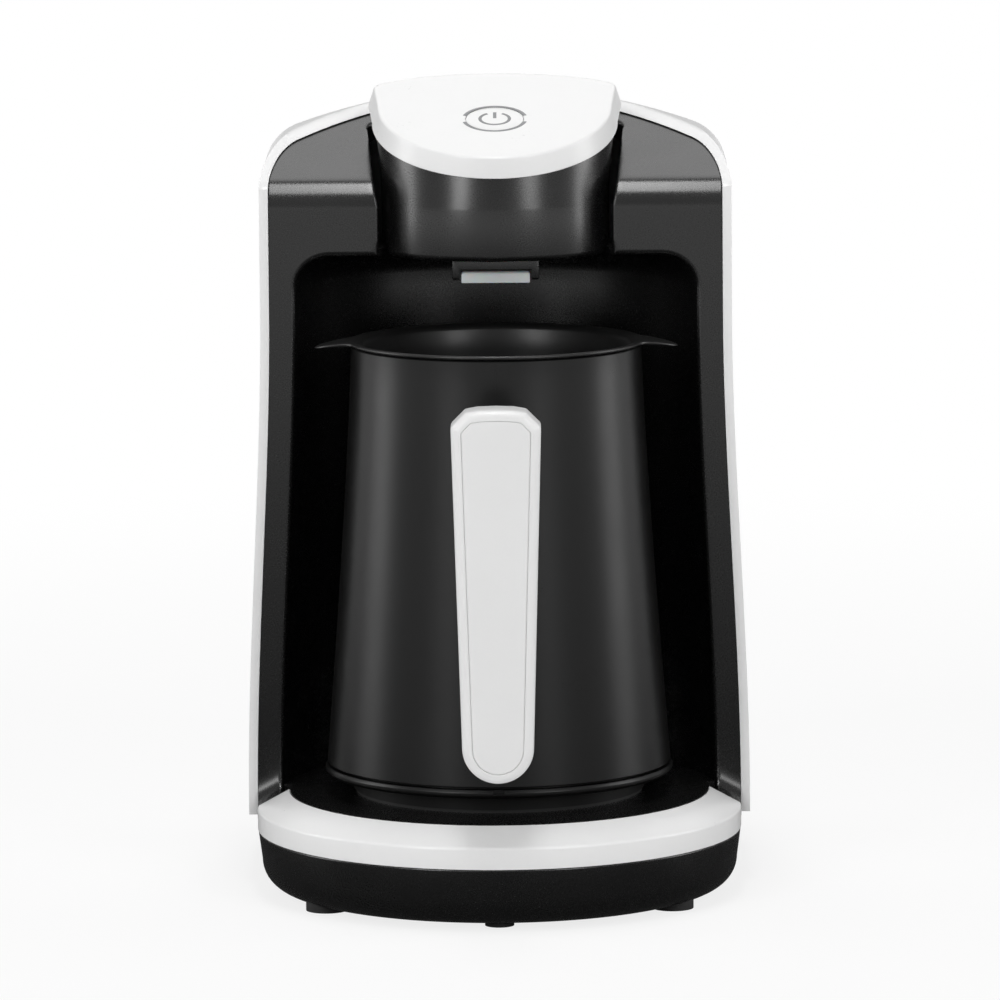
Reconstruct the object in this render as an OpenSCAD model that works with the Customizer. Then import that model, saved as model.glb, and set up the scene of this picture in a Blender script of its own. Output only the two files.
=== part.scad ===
// Electric coffee maker for small cups: a pot on a hot plate, under a hanging head.
// +Z is up, the pot's handle faces -Y, and the feet stand on Z = 0.

/* [Housing] */
// Half of the housing's width above the flare
half_top = 70.4; // [69.8:0.1:71]
// How much each side spreads out towards the foot
flare = 5; // [3.5:0.1:5.4]
// Height of the rear shell's arch
arch_top = 235.2; // [233:0.1:237]
// Radius of the arch over the top
arch_r = 179.5; // [170:0.5:210]
// Radius of the arch's corners
corner_r = 15.2; // [13:0.1:20]
// Wall of the white rear shell
shell_wall = 2.7; // [2.4:0.1:3]
// Wall of the other mouldings
wall = 2.5; // [2.2:0.1:2.8]
// Radius of the rear corners, seen from above
rear_corner = 40; // [34:1:44]
// Radius of the edge between back and top
rear_top_r = 34; // [26:1:38]

/* [Front frame] */
// Height at which the face bends back into the shoulders
bend_z = 211; // [208:0.5:213]
// Rise of the shoulders towards the back, in degrees
shoulder_a = 18.5; // [17:0.5:22]
// Radius of the bend between face and shoulders
bend_r = 9; // [6:0.5:11]
// Height of the pot bay's ceiling
bay_top = 190; // [189:0.5:192]
// Radius between the bay's wall and its ceiling
bay_corner = 10; // [7:0.5:12]

/* [Base] */
// Outer radius of the base and of the half round front
base_r = 72.3; // [72:0.1:72.4]
// Height of the base's wall in front
base_top = 19; // [18.5:0.1:19.4]
// Rounding of the base's lower edge
base_round = 8.5; // [7:0.1:9]
// How much the base's wall leans inwards from its upper edge to that rounding
base_draft = 1.1; // [0.5:0.1:1.5]
// Gap under the base
foot_gap = 1.6; // [1.4:0.1:2.4]
// Radius of the opening in the base's floor
cover_r = 50; // [48:0.5:50.5]

/* [Head] */
// Half width of the column over the pot
column_half = 34; // [33:0.1:34.4]
// Half width of the cap
cap_half = 38.2; // [37.8:0.1:38.6]
// Slope of the cap, in degrees
cap_a = 18; // [16:0.5:19]
// Length of the cap along its slope
cap_len = 68; // [67:0.1:70.5]
// Height of the cap's side
cap_side = 6.2; // [5.8:0.1:6.6]
// Distance of the button's centre from the cap's front edge
button_v = 31; // [29:0.5:33]
// Radius of the power button
button_r = 8.6; // [8.2:0.1:8.62]

/* [Pot] */
// Height of the pot's rim
rim_z = 166; // [165:0.5:168]
// Radius of the jacket at its top
jacket_top_r = 43.3; // [42.8:0.1:43.6]
// Radius of the jacket at its foot
jacket_foot_r = 51.4; // [50.8:0.1:51.6]
// Height of the hot plate, on which the pot stands
plate_z = 35.5; // [35:0.1:36]
// Length of the handle
handle_len = 110.6; // [106:0.1:114]
// Width of the handle near its top
handle_top_w = 26; // [25:0.1:28]
// Width of the handle near its foot
handle_foot_w = 20.8; // [19:0.1:23]

/* [Hidden] */
$fn = 64;

black = "#1b1b1c";
white = "#f2f2f0";
steel = "#b9bcc0";
green = "#1f5b35";
tiny = 0.05;
gap = 0.15;

// Places along the depth of the object
pot_y = -11;
face_y = pot_y + 7;
rear_y = 95;
rear_arc_y = rear_y - rear_corner;

// Arch: its centre, the centre of its corners, and the angle at which the two arcs meet
arch_z = arch_top - arch_r;
corner_x = half_top - corner_r;
corner_z = arch_z + sqrt(pow(arch_r - corner_r, 2) - pow(corner_x, 2));
meet_a = atan2(corner_z - arch_z, corner_x);

// The sides spread between these heights
flare_z0 = 25;
flare_z1 = 175;
shell_z = 21.5;
shell_top_y = 52;

// Pot bay: a round wall about the pot's axis
bay_inset = 10;
deck_z = 30.5;
deck_t = 2.5;
ring_in = 62.7;
ring_out = 72.5;
ring_edge_z = 25.4;
ring_top_z = 30.7;

// Hot plate
plate_r = 43.5;
plate_hole_r = 40;
plate_flange_z = 31.5;
plate_boss_z = 27;
sensor_r = 6;
element_r = 30;
element_tube_r = 3;
clamp_z = 19.5;
clamp_t = 1.2;
clamp_screw_r = 20;

// Cap's own frame: v runs up the slope from the front edge, w stands on its face
cap_y = -21.5;
cap_z = 220.4;
cap_front_len = 42;
cap_rear_len = 12;
cap_bevel = 2;
cap_top_t = 2.2;
column_front_y = -20;
column_side_y = 12;
column_back_y = 35;
column_rear_y = 43.5;
column_flare_z = 205;
slot_half = 34.9;
slot_top_half = 38.9;
slot_top_z = 227;
ceiling_y = 15;
guide_r = 9.85;
guide_gap_a = 14;

// Pot
jacket_z0 = 39.4;
jacket_z1 = 162;
jacket_wall = 2.2;
vessel_wall = 1.2;
vessel_floor_z = 38.9;
vessel_foot_r = 46.5;
lip_z = 36.2;
spout_x = 52.6;
handle_y = pot_y - 84;
handle_t = 13.5;
handle_z1 = 157;
handle_z0 = handle_z1 - handle_len;
neck_z0 = 116;
neck_z1 = 148;

// Screws under the base: deck bosses and frame bosses
deck_boss_r = 45;
frame_boss = [55, 30];
pad_z = 7;
boss_r = 4;
screw_r = 1.5;
pilot_r = 1.55;
screw_head_r = 3;
cover_step_z = foot_gap + wall;
cover_in_z = 6.5;

// Screws in the back of the shell, and the control board
shell_screw_x = 28;
shell_screw_z = [40, 186];
board_y = 60;
board_t = 1.6;
board_half = 33;
board_z0 = 50;
board_z1 = 150;
board_post_x = 28;
gland_z = 14.5;
gland_pad_r = 6.9;
gland_bore_r = 3.2;

// Cheek's foot: radius of its sweep, and the height and fall of the ridge above it
foot_r = 6.3;
foot_ridge_z = 37.5;
foot_fall = 28.4;

/* ---- outlines and sweeps ---- */

function ease(u) = let (c = min(1, max(0, u))) c * c * (3 - 2 * c);
function half_w(z) = half_top + flare * ease((flare_z1 - z) / (flare_z1 - flare_z0));
function bay_r(z) = half_w(z) - bay_inset;
function jacket_r(z) =
    jacket_top_r + (jacket_foot_r - jacket_top_r)
    * pow((jacket_z1 - z) / (jacket_z1 - jacket_z0), 1.25);
function arc(c, r, a0, a1, n) =
    [for (i = [0:n]) let (a = a0 + (a1 - a0) * i / n) c + r * [cos(a), sin(a)]];
function steps(a, b, n) = [for (i = [0:n]) a + (b - a) * i / n];
function flipped(pts) = [for (i = [len(pts) - 1:-1:0]) [-pts[i][0], pts[i][1]]];

// Right half of the arched outline, from the foot to just before the apex
function arch_half(inset, z0) = concat(
    [[half_w(flare_z0) - inset, z0]],
    [for (z = steps(flare_z0, flare_z1, 7)) if (z > flare_z0 + 5) [half_w(z) - inset, z]],
    arc([corner_x, corner_z], corner_r - inset, 0, meet_a, 7),
    [for (p = arc([0, arch_z], arch_r - inset, meet_a, 90, 8)) if (p[0] > 0.01 && p[0] < corner_x * 0.95) p]
);
function arch_outline(inset, z0) = concat(
    arch_half(inset, z0), [[0, arch_top - inset]], flipped(arch_half(inset, z0)));

// Outline with an elliptic nose at one end and a flatter, rounder end at the other
function nose_half(hw, y0, y1, y2, y3) = concat(
    [for (a = steps(0, 90, 12)) [hw * sin(a), y1 - (y1 - y0) * cos(a)]],
    [for (a = steps(0, 90, 8)) [hw * pow(cos(a), 0.5), y2 + (y3 - y2) * pow(sin(a), 0.8)]]
);
function nose_outline(hw, y0, y1, y2, y3) =
    let (half = nose_half(hw, y0, y1, y2, y3))
    concat(half, [for (i = [len(half) - 2:-1:1]) [-half[i][0], half[i][1]]]);

// Side view of the face, the bend and the shoulders
function face_side(inset, y_end, z0) =
    let (c = [face_y + bend_r, bend_z + bend_r * tan(shoulder_a) - bend_r / cos(shoulder_a)])
    concat([[face_y + inset, z0]],
        arc(c, bend_r - inset, 180, 90 + shoulder_a, 7),
        [[y_end, bend_z + (y_end - face_y) * tan(shoulder_a) - inset / cos(shoulder_a)], [y_end, z0]]);

module along_y(y0, y1) {
    translate([0, y1, 0]) rotate([90, 0, 0]) linear_extrude(y1 - y0) children();
}
module along_x(x0, x1) {
    translate([x0, 0, 0]) rotate([90, 0, 90]) linear_extrude(x1 - x0) children();
}
module at_pot() { translate([0, pot_y, 0]) children(); }
module on_cap() { translate([0, cap_y, cap_z]) rotate([cap_a, 0, 0]) children(); }
module both_sides() {
    children();
    mirror([1, 0, 0]) children();
}
module rod_y(x, z, r, y0, y1) {
    translate([x, y0, z]) rotate([-90, 0, 0]) cylinder(r = r, h = y1 - y0);
}
module tube(r_out, r_in, h) {
    difference() {
        cylinder(r = r_out, h = h);
        translate([0, 0, -1]) cylinder(r = r_in, h = h + 2);
    }
}

/* ---- base ---- */

// Footprint of the base: half round in front, rounded corners behind
module footprint(inset) {
    r = base_r - inset;
    rc = rear_corner - 2.5 - inset;
    cx = base_r - rear_corner + 2.5;
    translate([0, pot_y]) circle(r, $fn = 96);
    translate([-r, pot_y]) square([2 * r, rear_arc_y - pot_y]);
    translate([-cx, pot_y]) square([2 * cx, rear_arc_y - pot_y + rc]);
    for (s = [-1, 1]) translate([s * cx, rear_arc_y]) circle(rc);
}

// The bowl is convex, so it is the hull of its sections: upright, a slight lean, a round foot
module bowl() {
    hull() {
        translate([0, 0, base_top]) linear_extrude(shell_z - base_top) footprint(0);
        for (a = steps(0, 90, 7))
            translate([0, 0, foot_gap + base_round * (1 - sin(a))]) linear_extrude(tiny)
                footprint(base_draft + base_round * (1 - cos(a)));
    }
}

module deck_boss_places() {
    for (a = [45:90:315]) at_pot() rotate([0, 0, a]) translate([deck_boss_r, 0, 0]) children();
}
module frame_boss_places() {
    both_sides() translate([frame_boss[0], frame_boss[1], 0]) children();
}
module foot_places() {
    both_sides() {
        translate([51.2, pot_y - 33, 0]) children(0);
        translate([50, 72, 0]) children(0);
    }
    translate([0, pot_y - 58, 0]) children(1);
}

module base_housing() {
    color(black) difference() {
        union() {
            bowl();
            // flat pad round the cord's collar
            rod_y(0, gland_z, gland_pad_r, rear_y - 7, rear_y - 2.46);
        }
        difference() {
            union() {
                translate([0, 0, foot_gap + base_round - 1.3]) linear_extrude(30) footprint(wall);
                translate([0, 0, foot_gap + wall]) linear_extrude(30) footprint(base_round + 0.5);
            }
            frame_boss_places() cylinder(r = 5.5, h = pad_z);
        }
        translate([-80, pot_y - 80, base_top]) cube([160, 80, 10]);
        translate([0, 0, -1]) linear_extrude(10) footprint(base_r - cover_r);
        frame_boss_places() translate([0, 0, -1]) {
            cylinder(r = 1.8, h = 10);
            cylinder(r = 3.3, h = 5);
        }
        foot_places() {
            translate([0, 0, -1]) cylinder(r = 6.3, h = 4.2);
            translate([0, 0, -1]) cylinder(r = 4.4, h = 4.2);
        }
        rod_y(0, gland_z, 4.9, 80, 100);
    }
}

module bottom_cover() {
    color(black) difference() {
        union() {
            translate([0, 0, foot_gap]) linear_extrude(3) footprint(base_r - cover_r + 0.3);
            translate([0, 0, cover_step_z]) linear_extrude(2) footprint(base_r - cover_r - 2.2);
        }
        translate([0, 0, foot_gap + 2.2]) linear_extrude(5) footprint(base_r - cover_r + 14);
        frame_boss_places() cylinder(r = 5.8, h = 10);
        deck_boss_places() translate([0, 0, -1]) {
            cylinder(r = 1.8, h = 10);
            cylinder(r = 3.3, h = 5);
        }
        // cooling slots
        for (i = [-4:4]) translate([i * 7 - 1.5, 34, -1]) cube([3, 16, 10]);
    }
}

module rubber_feet() {
    color("#2a2a2a") foot_places() {
        cylinder(r = 6.2, h = 3.2);
        cylinder(r = 4.3, h = 3.2);
    }
}

module base_screw(z0, z1) {
    translate([0, 0, z0]) difference() {
        union() {
            cylinder(r = screw_head_r, h = 1.8);
            cylinder(r = screw_r, h = z1 - z0);
        }
        for (a = [0, 90]) rotate([0, 0, a]) translate([-2, -0.4, -1]) cube([4, 0.8, 1.9]);
    }
}
module base_screws() {
    color(steel) {
        deck_boss_places() base_screw(foot_gap + 0.2, 16);
        frame_boss_places() base_screw(foot_gap + 0.2, 16);
    }
}

module trim_ring() {
    color(white) at_pot() rotate([0, 0, 180]) rotate_extrude(angle = 180)
        polygon([
            [ring_out, base_top], [ring_out, ring_edge_z], [ring_in, ring_top_z],
            [ring_in, deck_z - deck_t], [ring_in + 1.5, deck_z - deck_t],
            [ring_out - wall, ring_edge_z - 1.6], [ring_out - wall, base_top]
        ]);
}

module deck() {
    color(black) difference() {
        union() {
            at_pot() difference() {
                union() {
                    translate([0, 0, deck_z - deck_t]) cylinder(r = ring_in - gap, h = deck_t);
                    translate([0, 0, deck_z - deck_t]) intersection() {
                        cylinder(r = bay_r(deck_z) - gap, h = deck_t);
                        translate([-70, 8, -1]) cube([140, 70, 10]);
                    }
                }
                translate([0, 0, 20]) cylinder(r = plate_hole_r, h = 20);
            }
            deck_boss_places() translate([0, 0, cover_in_z])
                cylinder(r = boss_r, h = deck_z - deck_t - cover_in_z + tiny);
        }
        deck_boss_places() cylinder(r = pilot_r, h = 18);
    }
}

/* ---- heating ---- */

module clamp_screw_places() {
    for (a = [90, 210, 330]) at_pot() rotate([0, 0, a]) translate([clamp_screw_r, 0, 0]) children();
}

module hot_plate() {
    color(steel) difference() {
        at_pot() {
            translate([0, 0, plate_flange_z]) cylinder(r = plate_r, h = plate_z - plate_flange_z);
            translate([0, 0, plate_boss_z]) cylinder(r = plate_hole_r - 0.5, h = 6);
        }
        at_pot() cylinder(r = sensor_r + 0.2, h = 50);
        clamp_screw_places() cylinder(r = pilot_r, h = 32);
    }
}

module plate_seal() {
    color("#6e2a22") at_pot() translate([0, 0, deck_z])
        tube(plate_r - 0.6, plate_hole_r + 0.2, plate_flange_z - deck_z);
}

module heating_element() {
    color("#8b8f92") at_pot() {
        translate([0, 0, plate_boss_z - element_tube_r - tiny])
            rotate([0, 0, 105]) rotate_extrude(angle = 330)
                translate([element_r, 0]) circle(element_tube_r, $fn = 32);
        // the ends turn down to their terminals
        for (a = [75.6, 104.4]) rotate([0, 0, a]) translate([element_r, 0, 12])
            cylinder(r = 1.6, h = 12, $fn = 32);
    }
}

module heater_clamp() {
    color(steel) difference() {
        at_pot() {
            translate([0, 0, clamp_z]) cylinder(r = 34, h = clamp_t);
            translate([0, 0, 13]) cylinder(r = 5, h = clamp_z - 13 + tiny);
        }
        at_pot() cylinder(r = 3.15, h = 50);
        clamp_screw_places() cylinder(r = 1.8, h = 32);
        translate([-14, pot_y + 25, 10]) cube([28, 20, 20]);
    }
}

module clamp_screws() {
    color(steel) clamp_screw_places() translate([0, 0, clamp_z - 1.8]) {
        cylinder(r = screw_head_r, h = 1.8);
        cylinder(r = screw_r, h = 12);
    }
}

module thermal_cutout() {
    color("#d8d2c4") at_pot() translate([14, 14, 0]) {
        translate([0, 0, clamp_z - 6]) cylinder(r = 7, h = 6);
        for (s = [-1, 1]) translate([s * 4 - 0.4, -2.5, clamp_z - 12]) cube([0.8, 5, 6.5]);
    }
}

module heat_sensor() {
    color("#c9ccd0") at_pot() {
        translate([0, 0, plate_z - 4]) cylinder(r = sensor_r, h = 4);
        translate([0, 0, 11]) cylinder(r = 3.1, h = plate_z - 11 - 3);
    }
}

// Spring wire: a round section carried along a helix, closed at both ends
spring_r = 4.4;
spring_wire = 0.5;
spring_turns = 5;
spring_z0 = clamp_z + clamp_t + spring_wire + 0.02;
spring_z1 = plate_z - 4 - spring_wire - 0.02;
spring_steps = 15;
spring_sides = 6;
function spring_ring(i) =
    let (n = spring_turns * spring_steps, a = 360 * i / spring_steps,
        u = [cos(a), sin(a), 0], c = spring_r * u + [0, 0, spring_z0 + (spring_z1 - spring_z0) * i / n])
    [for (k = [0:spring_sides - 1]) let (b = 360 * k / spring_sides)
        c + spring_wire * (cos(b) * u + sin(b) * [0, 0, 1])];
module sensor_spring() {
    n = spring_turns * spring_steps;
    m = spring_sides;
    sides = [for (i = [0:n - 1], k = [0:m - 1])
        [i * m + k, i * m + (k + 1) % m, (i + 1) * m + (k + 1) % m, (i + 1) * m + k]];
    color(steel) at_pot() polyhedron(
        points = [for (i = [0:n], p = spring_ring(i)) p],
        faces = concat(
            [[for (k = [m - 1:-1:0]) k]],
            [for (f = sides) [f[0], f[1], f[2]]],
            [for (f = sides) [f[0], f[2], f[3]]],
            [[for (k = [0:m - 1]) n * m + k]]));
}

module heater_leads() {
    color("#b03a2e") both_sides() {
        translate([7.46, pot_y + 29.06, 9]) cylinder(r = 1.4, h = 3, $fn = 24);
        rod_y(7.46, 9, 1.4, pot_y + 29.06, 66);
    }
}

/* ---- front frame and rear shell ---- */

// Solid of the round bay, grown by some wall
module bay_solid(grow, z0) {
    top = bay_top + grow;
    edge = bay_corner + grow;
    at_pot() rotate_extrude($fn = 96) polygon(concat(
        [[0, z0]],
        [for (z = steps(z0, bay_top - bay_corner, 8)) [bay_r(z) + grow, z]],
        [for (p = arc([bay_r(bay_top) - bay_corner, bay_top - bay_corner], edge, 15, 90, 5)) p],
        [[0, top]]
    ));
}

// Solid of the head's column, grown by some gap, cut level at z0 and parallel to the cap on top
module column_solid(grow, z0, lift) {
    translate([0, 0, z0]) linear_extrude(column_flare_z - z0 + tiny)
        polygon(nose_outline(column_half + grow, column_front_y - grow, column_side_y,
            column_back_y, column_rear_y + grow));
    hull() {
        translate([0, 0, column_flare_z]) linear_extrude(tiny)
            polygon(nose_outline(column_half + grow, column_front_y - grow, column_side_y,
                column_back_y, column_rear_y + grow));
        on_cap() translate([0, lift * sin(cap_a), lift * cos(cap_a) - cap_side - 0.1]) linear_extrude(tiny)
            polygon(nose_outline(cap_half - 0.8 + grow, 0.8 - grow, cap_front_len,
                cap_len - cap_rear_len, cap_len - 0.8 + grow));
    }
}

// Slot that the column hangs in, wider towards the top, and closed by the bay's ceiling behind
function slot_outline(hw, back) =
    let (y2 = column_back_y + back, y3 = column_rear_y + 1 + back)
    concat(
        [[hw, column_front_y - 10]],
        [for (a = steps(0, 90, 8)) [hw * pow(cos(a), 0.5), y2 + (y3 - y2) * pow(sin(a), 0.8)]],
        [for (a = steps(80, 0, 7)) [-hw * pow(cos(a), 0.5), y2 + (y3 - y2) * pow(sin(a), 0.8)]],
        [[-hw, column_front_y - 10]]);
module column_slot() {
    difference() {
        union() {
            translate([0, 0, bay_top - 1]) linear_extrude(column_flare_z - bay_top + 1 + tiny)
                polygon(slot_outline(slot_half, 0));
            hull() {
                translate([0, 0, column_flare_z]) linear_extrude(tiny) polygon(slot_outline(slot_half, 0));
                translate([0, 0, slot_top_z]) linear_extrude(tiny) polygon(slot_outline(slot_top_half, 2.2));
            }
            translate([0, 0, slot_top_z]) linear_extrude(30) polygon(slot_outline(slot_top_half, 2.2));
        }
        translate([-50, ceiling_y, bay_top - 2]) cube([100, 60, wall + 2]);
    }
}

frame_fit = shell_wall + 0.1;
face_in = 0.4;
frame_back_y = 54.5;
module frame_block(inset, y_end, z0) {
    intersection() {
        along_y(face_y - 5, y_end) polygon(arch_outline(frame_fit + inset, z0));
        along_x(-80, 80) polygon(face_side(face_in + inset, y_end, z0));
    }
}

module front_frame() {
    color(black) difference() {
        union() {
            difference() {
                frame_block(0, frame_back_y, shell_z);
                frame_block(wall, frame_back_y + 1, shell_z - 1);
                translate([-80, 22, 0]) cube([160, 80, 200]);
            }
            intersection() {
                bay_solid(wall, shell_z);
                translate([-80, face_y + 0.5, 0]) cube([160, 100, 220]);
            }
            both_sides() {
                cheek_foot();
                translate([frame_boss[0], frame_boss[1], pad_z]) cylinder(r = boss_r, h = 54);
                for (z = shell_screw_z)
                    rod_y(shell_screw_x, z, boss_r, 38, rear_y - shell_wall - 0.2);
            }
        }
        bay_solid(0, shell_z - 1);
        column_slot();
        both_sides() {
            translate([frame_boss[0], frame_boss[1], 0]) cylinder(r = pilot_r, h = 18);
            for (z = shell_screw_z) rod_y(shell_screw_x, z, pilot_r, 78, 100);
        }
    }
}

// Foot of each cheek, running forward in a hollow curve to the ends of the trim ring
module cheek_foot() {
    x0 = ring_in + 0.3;
    x1 = base_r - 0.7;
    difference() {
        translate([x0, pot_y + 0.1, shell_z]) cube([x1 - x0, 7.5, foot_ridge_z - shell_z]);
        // its concave sweep starts at a ridge that falls outwards
        translate([ring_in, face_y + face_in - foot_r, foot_ridge_z]) rotate([0, foot_fall, 0]) {
            translate([-10, 0, 0]) rotate([0, 90, 0]) cylinder(r = foot_r, h = 35);
            translate([-10, -foot_r, 0]) cube([35, 2 * foot_r, 25]);
        }
    }
}

// Back of the shell: the arched outline drawn in as it runs round to the flat back
function back_ring(inset, z0, a) =
    let (r = rear_corner - inset, d = 1 - cos(a),
        fx = 1 - r * d / (half_top + flare - inset),
        fz = 1 - (rear_top_r - inset) * d / (arch_top - inset - z0))
    [for (p = arch_outline(inset, z0)) [fx * p[0], rear_arc_y + r * sin(a), z0 + fz * (p[1] - z0)]];
module shell_block(inset, y0, z0) {
    front = [for (p = arch_outline(inset, z0)) [p[0], y0, p[1]]];
    rings = concat([front], [for (a = steps(0, 90, 8)) back_ring(inset, z0, a)]);
    m = len(front);
    n = len(rings);
    // each end is closed by a fan about a point in its middle
    polyhedron(
        points = concat([for (ring = rings, p = ring) p], [[0, y0, 110], [0, rear_y - inset, 110]]),
        faces = concat(
            [for (k = [0:m - 1]) [n * m, (k + 1) % m, k]],
            [for (i = [0:n - 2], k = [0:m - 1])
                [i * m + k, i * m + (k + 1) % m, (i + 1) * m + k]],
            [for (i = [0:n - 2], k = [0:m - 1])
                [i * m + (k + 1) % m, (i + 1) * m + (k + 1) % m, (i + 1) * m + k]],
            [for (k = [0:m - 1]) [n * m + 1, (n - 1) * m + k, (n - 1) * m + (k + 1) % m]]),
        convexity = 4);
}

module rear_shell() {
    color(white) difference() {
        shell_block(0, face_y, shell_z);
        shell_block(shell_wall, face_y - 1, shell_z - 1);
        // the front edge follows the shoulders as far as the back of the cap
        along_x(-90, 90) polygon([
            [face_y - 1, bend_z], [face_y, bend_z],
            [shell_top_y, bend_z + (shell_top_y - face_y) * tan(shoulder_a)],
            [shell_top_y, bend_z + 90], [face_y - 1, bend_z + 90]]);
        both_sides() for (z = shell_screw_z) {
            rod_y(shell_screw_x, z, 1.8, 88, 100);
            rod_y(shell_screw_x, z, 3.4, rear_y - 1.4, 100);
        }
        // cooling slots low in the back
        for (i = [-3:3]) translate([i * 8 - 1.5, 88, 30]) cube([3, 12, 12]);
    }
}

module shell_screws() {
    color(steel) both_sides() for (z = shell_screw_z) {
        rod_y(shell_screw_x, z, screw_head_r, rear_y - 1.4, rear_y - 0.1);
        rod_y(shell_screw_x, z, screw_r, 80, rear_y - 1);
    }
}

/* ---- head ---- */

pod_y0 = pot_y + 5;
pod_y1 = pot_y + 24;
pod_half = 13;
pod_z = 183;
window_half = 10.2;
window_z0 = 182.2;
window_z1 = 185.6;

module head_housing() {
    color(black) difference() {
        union() {
            difference() {
                column_solid(0, bay_top, 0);
                column_solid(-wall, bay_top + wall, 1);
                // behind, the column stands on the bay's ceiling
                translate([-50, ceiling_y - 0.3, bay_top - 1]) cube([100, 60, wall + 1 + gap]);
            }
            translate([-pod_half, pod_y0, pod_z]) cube([2 * pod_half, pod_y1 - pod_y0, 9]);
            // ledges for the cap's screws
            on_cap() for (s = [-1, 1]) translate([s * 30 - 6, 44, -15]) cube([12, 12, 2]);
        }
        translate([-pod_half + 1.5, pod_y0 + 1.5, pod_z + 1.5])
            cube([2 * pod_half - 3, pod_y1 - pod_y0 - 3, 10]);
        translate([-window_half - 0.1, pod_y0 - 1, window_z0 - 0.1])
            cube([2 * window_half + 0.2, 14, window_z1 - window_z0 + 0.2]);
        cap_screw_places() translate([0, 0, -20]) cylinder(r = 1.8, h = 12);
        translate([-8, 40, bay_top + 1.5]) cube([16, 10, 4]);
    }
}

// Window of the boil-over sensor: a shallow cup that closes the pod's lower front edge
module sensor_window() {
    color([0.9, 0.92, 0.92, 0.7]) difference() {
        union() {
            translate([-window_half, pod_y0 - 0.6, window_z0])
                cube([2 * window_half, 13, window_z1 - window_z0 - 1]);
            translate([-window_half + 1, pod_y0 - 0.6, window_z0])
                cube([2 * window_half - 2, 13, window_z1 - window_z0]);
            for (s = [-1, 1])
                rod_y(s * (window_half - 1), window_z1 - 1, 1, pod_y0 - 0.6, pod_y0 + 12.4);
        }
        translate([-window_half + 1.2, pod_y0 + 0.8, window_z0 + 1.2])
            cube([2 * window_half - 2.4, 10.4, 10]);
    }
}

module sensor_board() {
    color(green) translate([-9, pod_y0 + 2, pod_z + 5.2]) cube([18, 14, 1.2]);
    color("#202024") for (s = [-1, 1])
        translate([s * 4, pod_y0 + 7, pod_z + 2.2]) cylinder(r = 1.5, h = 3 + tiny, $fn = 24);
}

module cap_screw_places() {
    on_cap() for (s = [-1, 1]) translate([s * 28, 50, 0]) children();
}

module top_cap() {
    color(white) difference() {
        union() {
            on_cap() difference() {
                hull() {
                    translate([0, 0, -cap_side]) linear_extrude(cap_side - 1.7)
                        polygon(nose_outline(cap_half, 0, cap_front_len,
                            cap_len - cap_rear_len, cap_len));
                    translate([0, 0, -tiny]) linear_extrude(tiny)
                        polygon(nose_outline(cap_half - cap_bevel, cap_bevel, cap_front_len,
                            cap_len - cap_rear_len, cap_len - cap_bevel));
                }
                translate([0, 0, -cap_side - 1]) linear_extrude(cap_side + 1 - cap_top_t)
                    polygon(nose_outline(cap_half - 2.4, 2.4, cap_front_len,
                        cap_len - cap_rear_len, cap_len - 2.4));
            }
            cap_screw_places() translate([0, 0, -13]) cylinder(r = 3.2, h = 11);
            button_post_places() translate([0, 0, -8.3]) cylinder(r = 2.3, h = 6.2);
        }
        on_cap() translate([0, button_v, -5]) {
            cylinder(r = button_r + gap, h = 10);
            for (a = [guide_gap_a, 180 + guide_gap_a]) rotate([0, 0, a])
                rotate_extrude(angle = 180 - 2 * guide_gap_a) square([guide_r, 10]);
        }
        cap_screw_places() translate([0, 0, -20]) cylinder(r = pilot_r, h = 15);
        button_post_places() translate([0, 0, -9]) cylinder(r = 1.05, h = 5);
    }
}

module cap_screws() {
    color(steel) cap_screw_places() {
        translate([0, 0, -16.8]) cylinder(r = screw_head_r, h = 1.8);
        translate([0, 0, -16.8]) cylinder(r = screw_r, h = 10);
    }
}

module light_guide() {
    color("#8d9092") on_cap() translate([0, button_v, -cap_top_t])
        for (a = [guide_gap_a, 180 + guide_gap_a]) rotate([0, 0, a])
            rotate_extrude(angle = 180 - 2 * guide_gap_a)
                translate([button_r + gap, 0]) square([guide_r - button_r - gap, cap_top_t]);
}

module button_post_places() {
    on_cap() for (s = [-1, 1]) translate([s * 14, button_v, 0]) children();
}

module button_board() {
    color(green) difference() {
        on_cap() translate([-17, button_v - 9, -9.5]) cube([34, 18, 1.2]);
        button_post_places() translate([0, 0, -11]) cylinder(r = 1.1, h = 5);
    }
}

module board_screws() {
    color(steel) {
        button_post_places() {
            translate([0, 0, -10.7]) cylinder(r = 2, h = 1.2);
            translate([0, 0, -10.7]) cylinder(r = 1, h = 5.5);
        }
        both_sides() for (z = [board_z0 + 6, board_z1 - 6]) {
            rod_y(board_post_x, z, 2.6, board_y - 1.6, board_y);
            rod_y(board_post_x, z, 1.4, board_y - 1.6, board_y + 12);
        }
    }
}

module tact_switch() {
    color("#303236") on_cap() translate([0, button_v, 0]) difference() {
        translate([-3, -3, -8.3]) cube([6, 6, 3.3]);
        translate([0, 0, -7.5]) cylinder(r = 1.75, h = 5);
    }
}

module power_button() {
    color(white) on_cap() translate([0, button_v, 0]) difference() {
        union() {
            translate([0, 0, -3.2]) cylinder(r = button_r, h = 3.2);
            translate([0, 0, -3.4]) cylinder(r = guide_r + 0.9, h = 1);
        }
        translate([0, 0, -4.4]) cylinder(r = button_r - 1.4, h = 3);
        button_icon_solid(gap_w = 0, z0 = -0.5);
    }
}

// Power mark: an open ring and a short bar
module button_icon_solid(gap_w, z0) {
    ring_r = 4.4;
    line_w = 1 - gap_w;
    translate([0, 0, z0]) {
        rotate([0, 0, 120]) rotate_extrude(angle = 300)
            translate([ring_r - line_w / 2, 0]) square([line_w, -z0]);
        translate([-line_w / 2, 0.4, 0]) cube([line_w, 4.4, -z0]);
    }
}

module button_icon() {
    color("#8d9092") on_cap() translate([0, button_v, 0]) button_icon_solid(gap_w = 0.02, z0 = -0.45);
}

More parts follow.
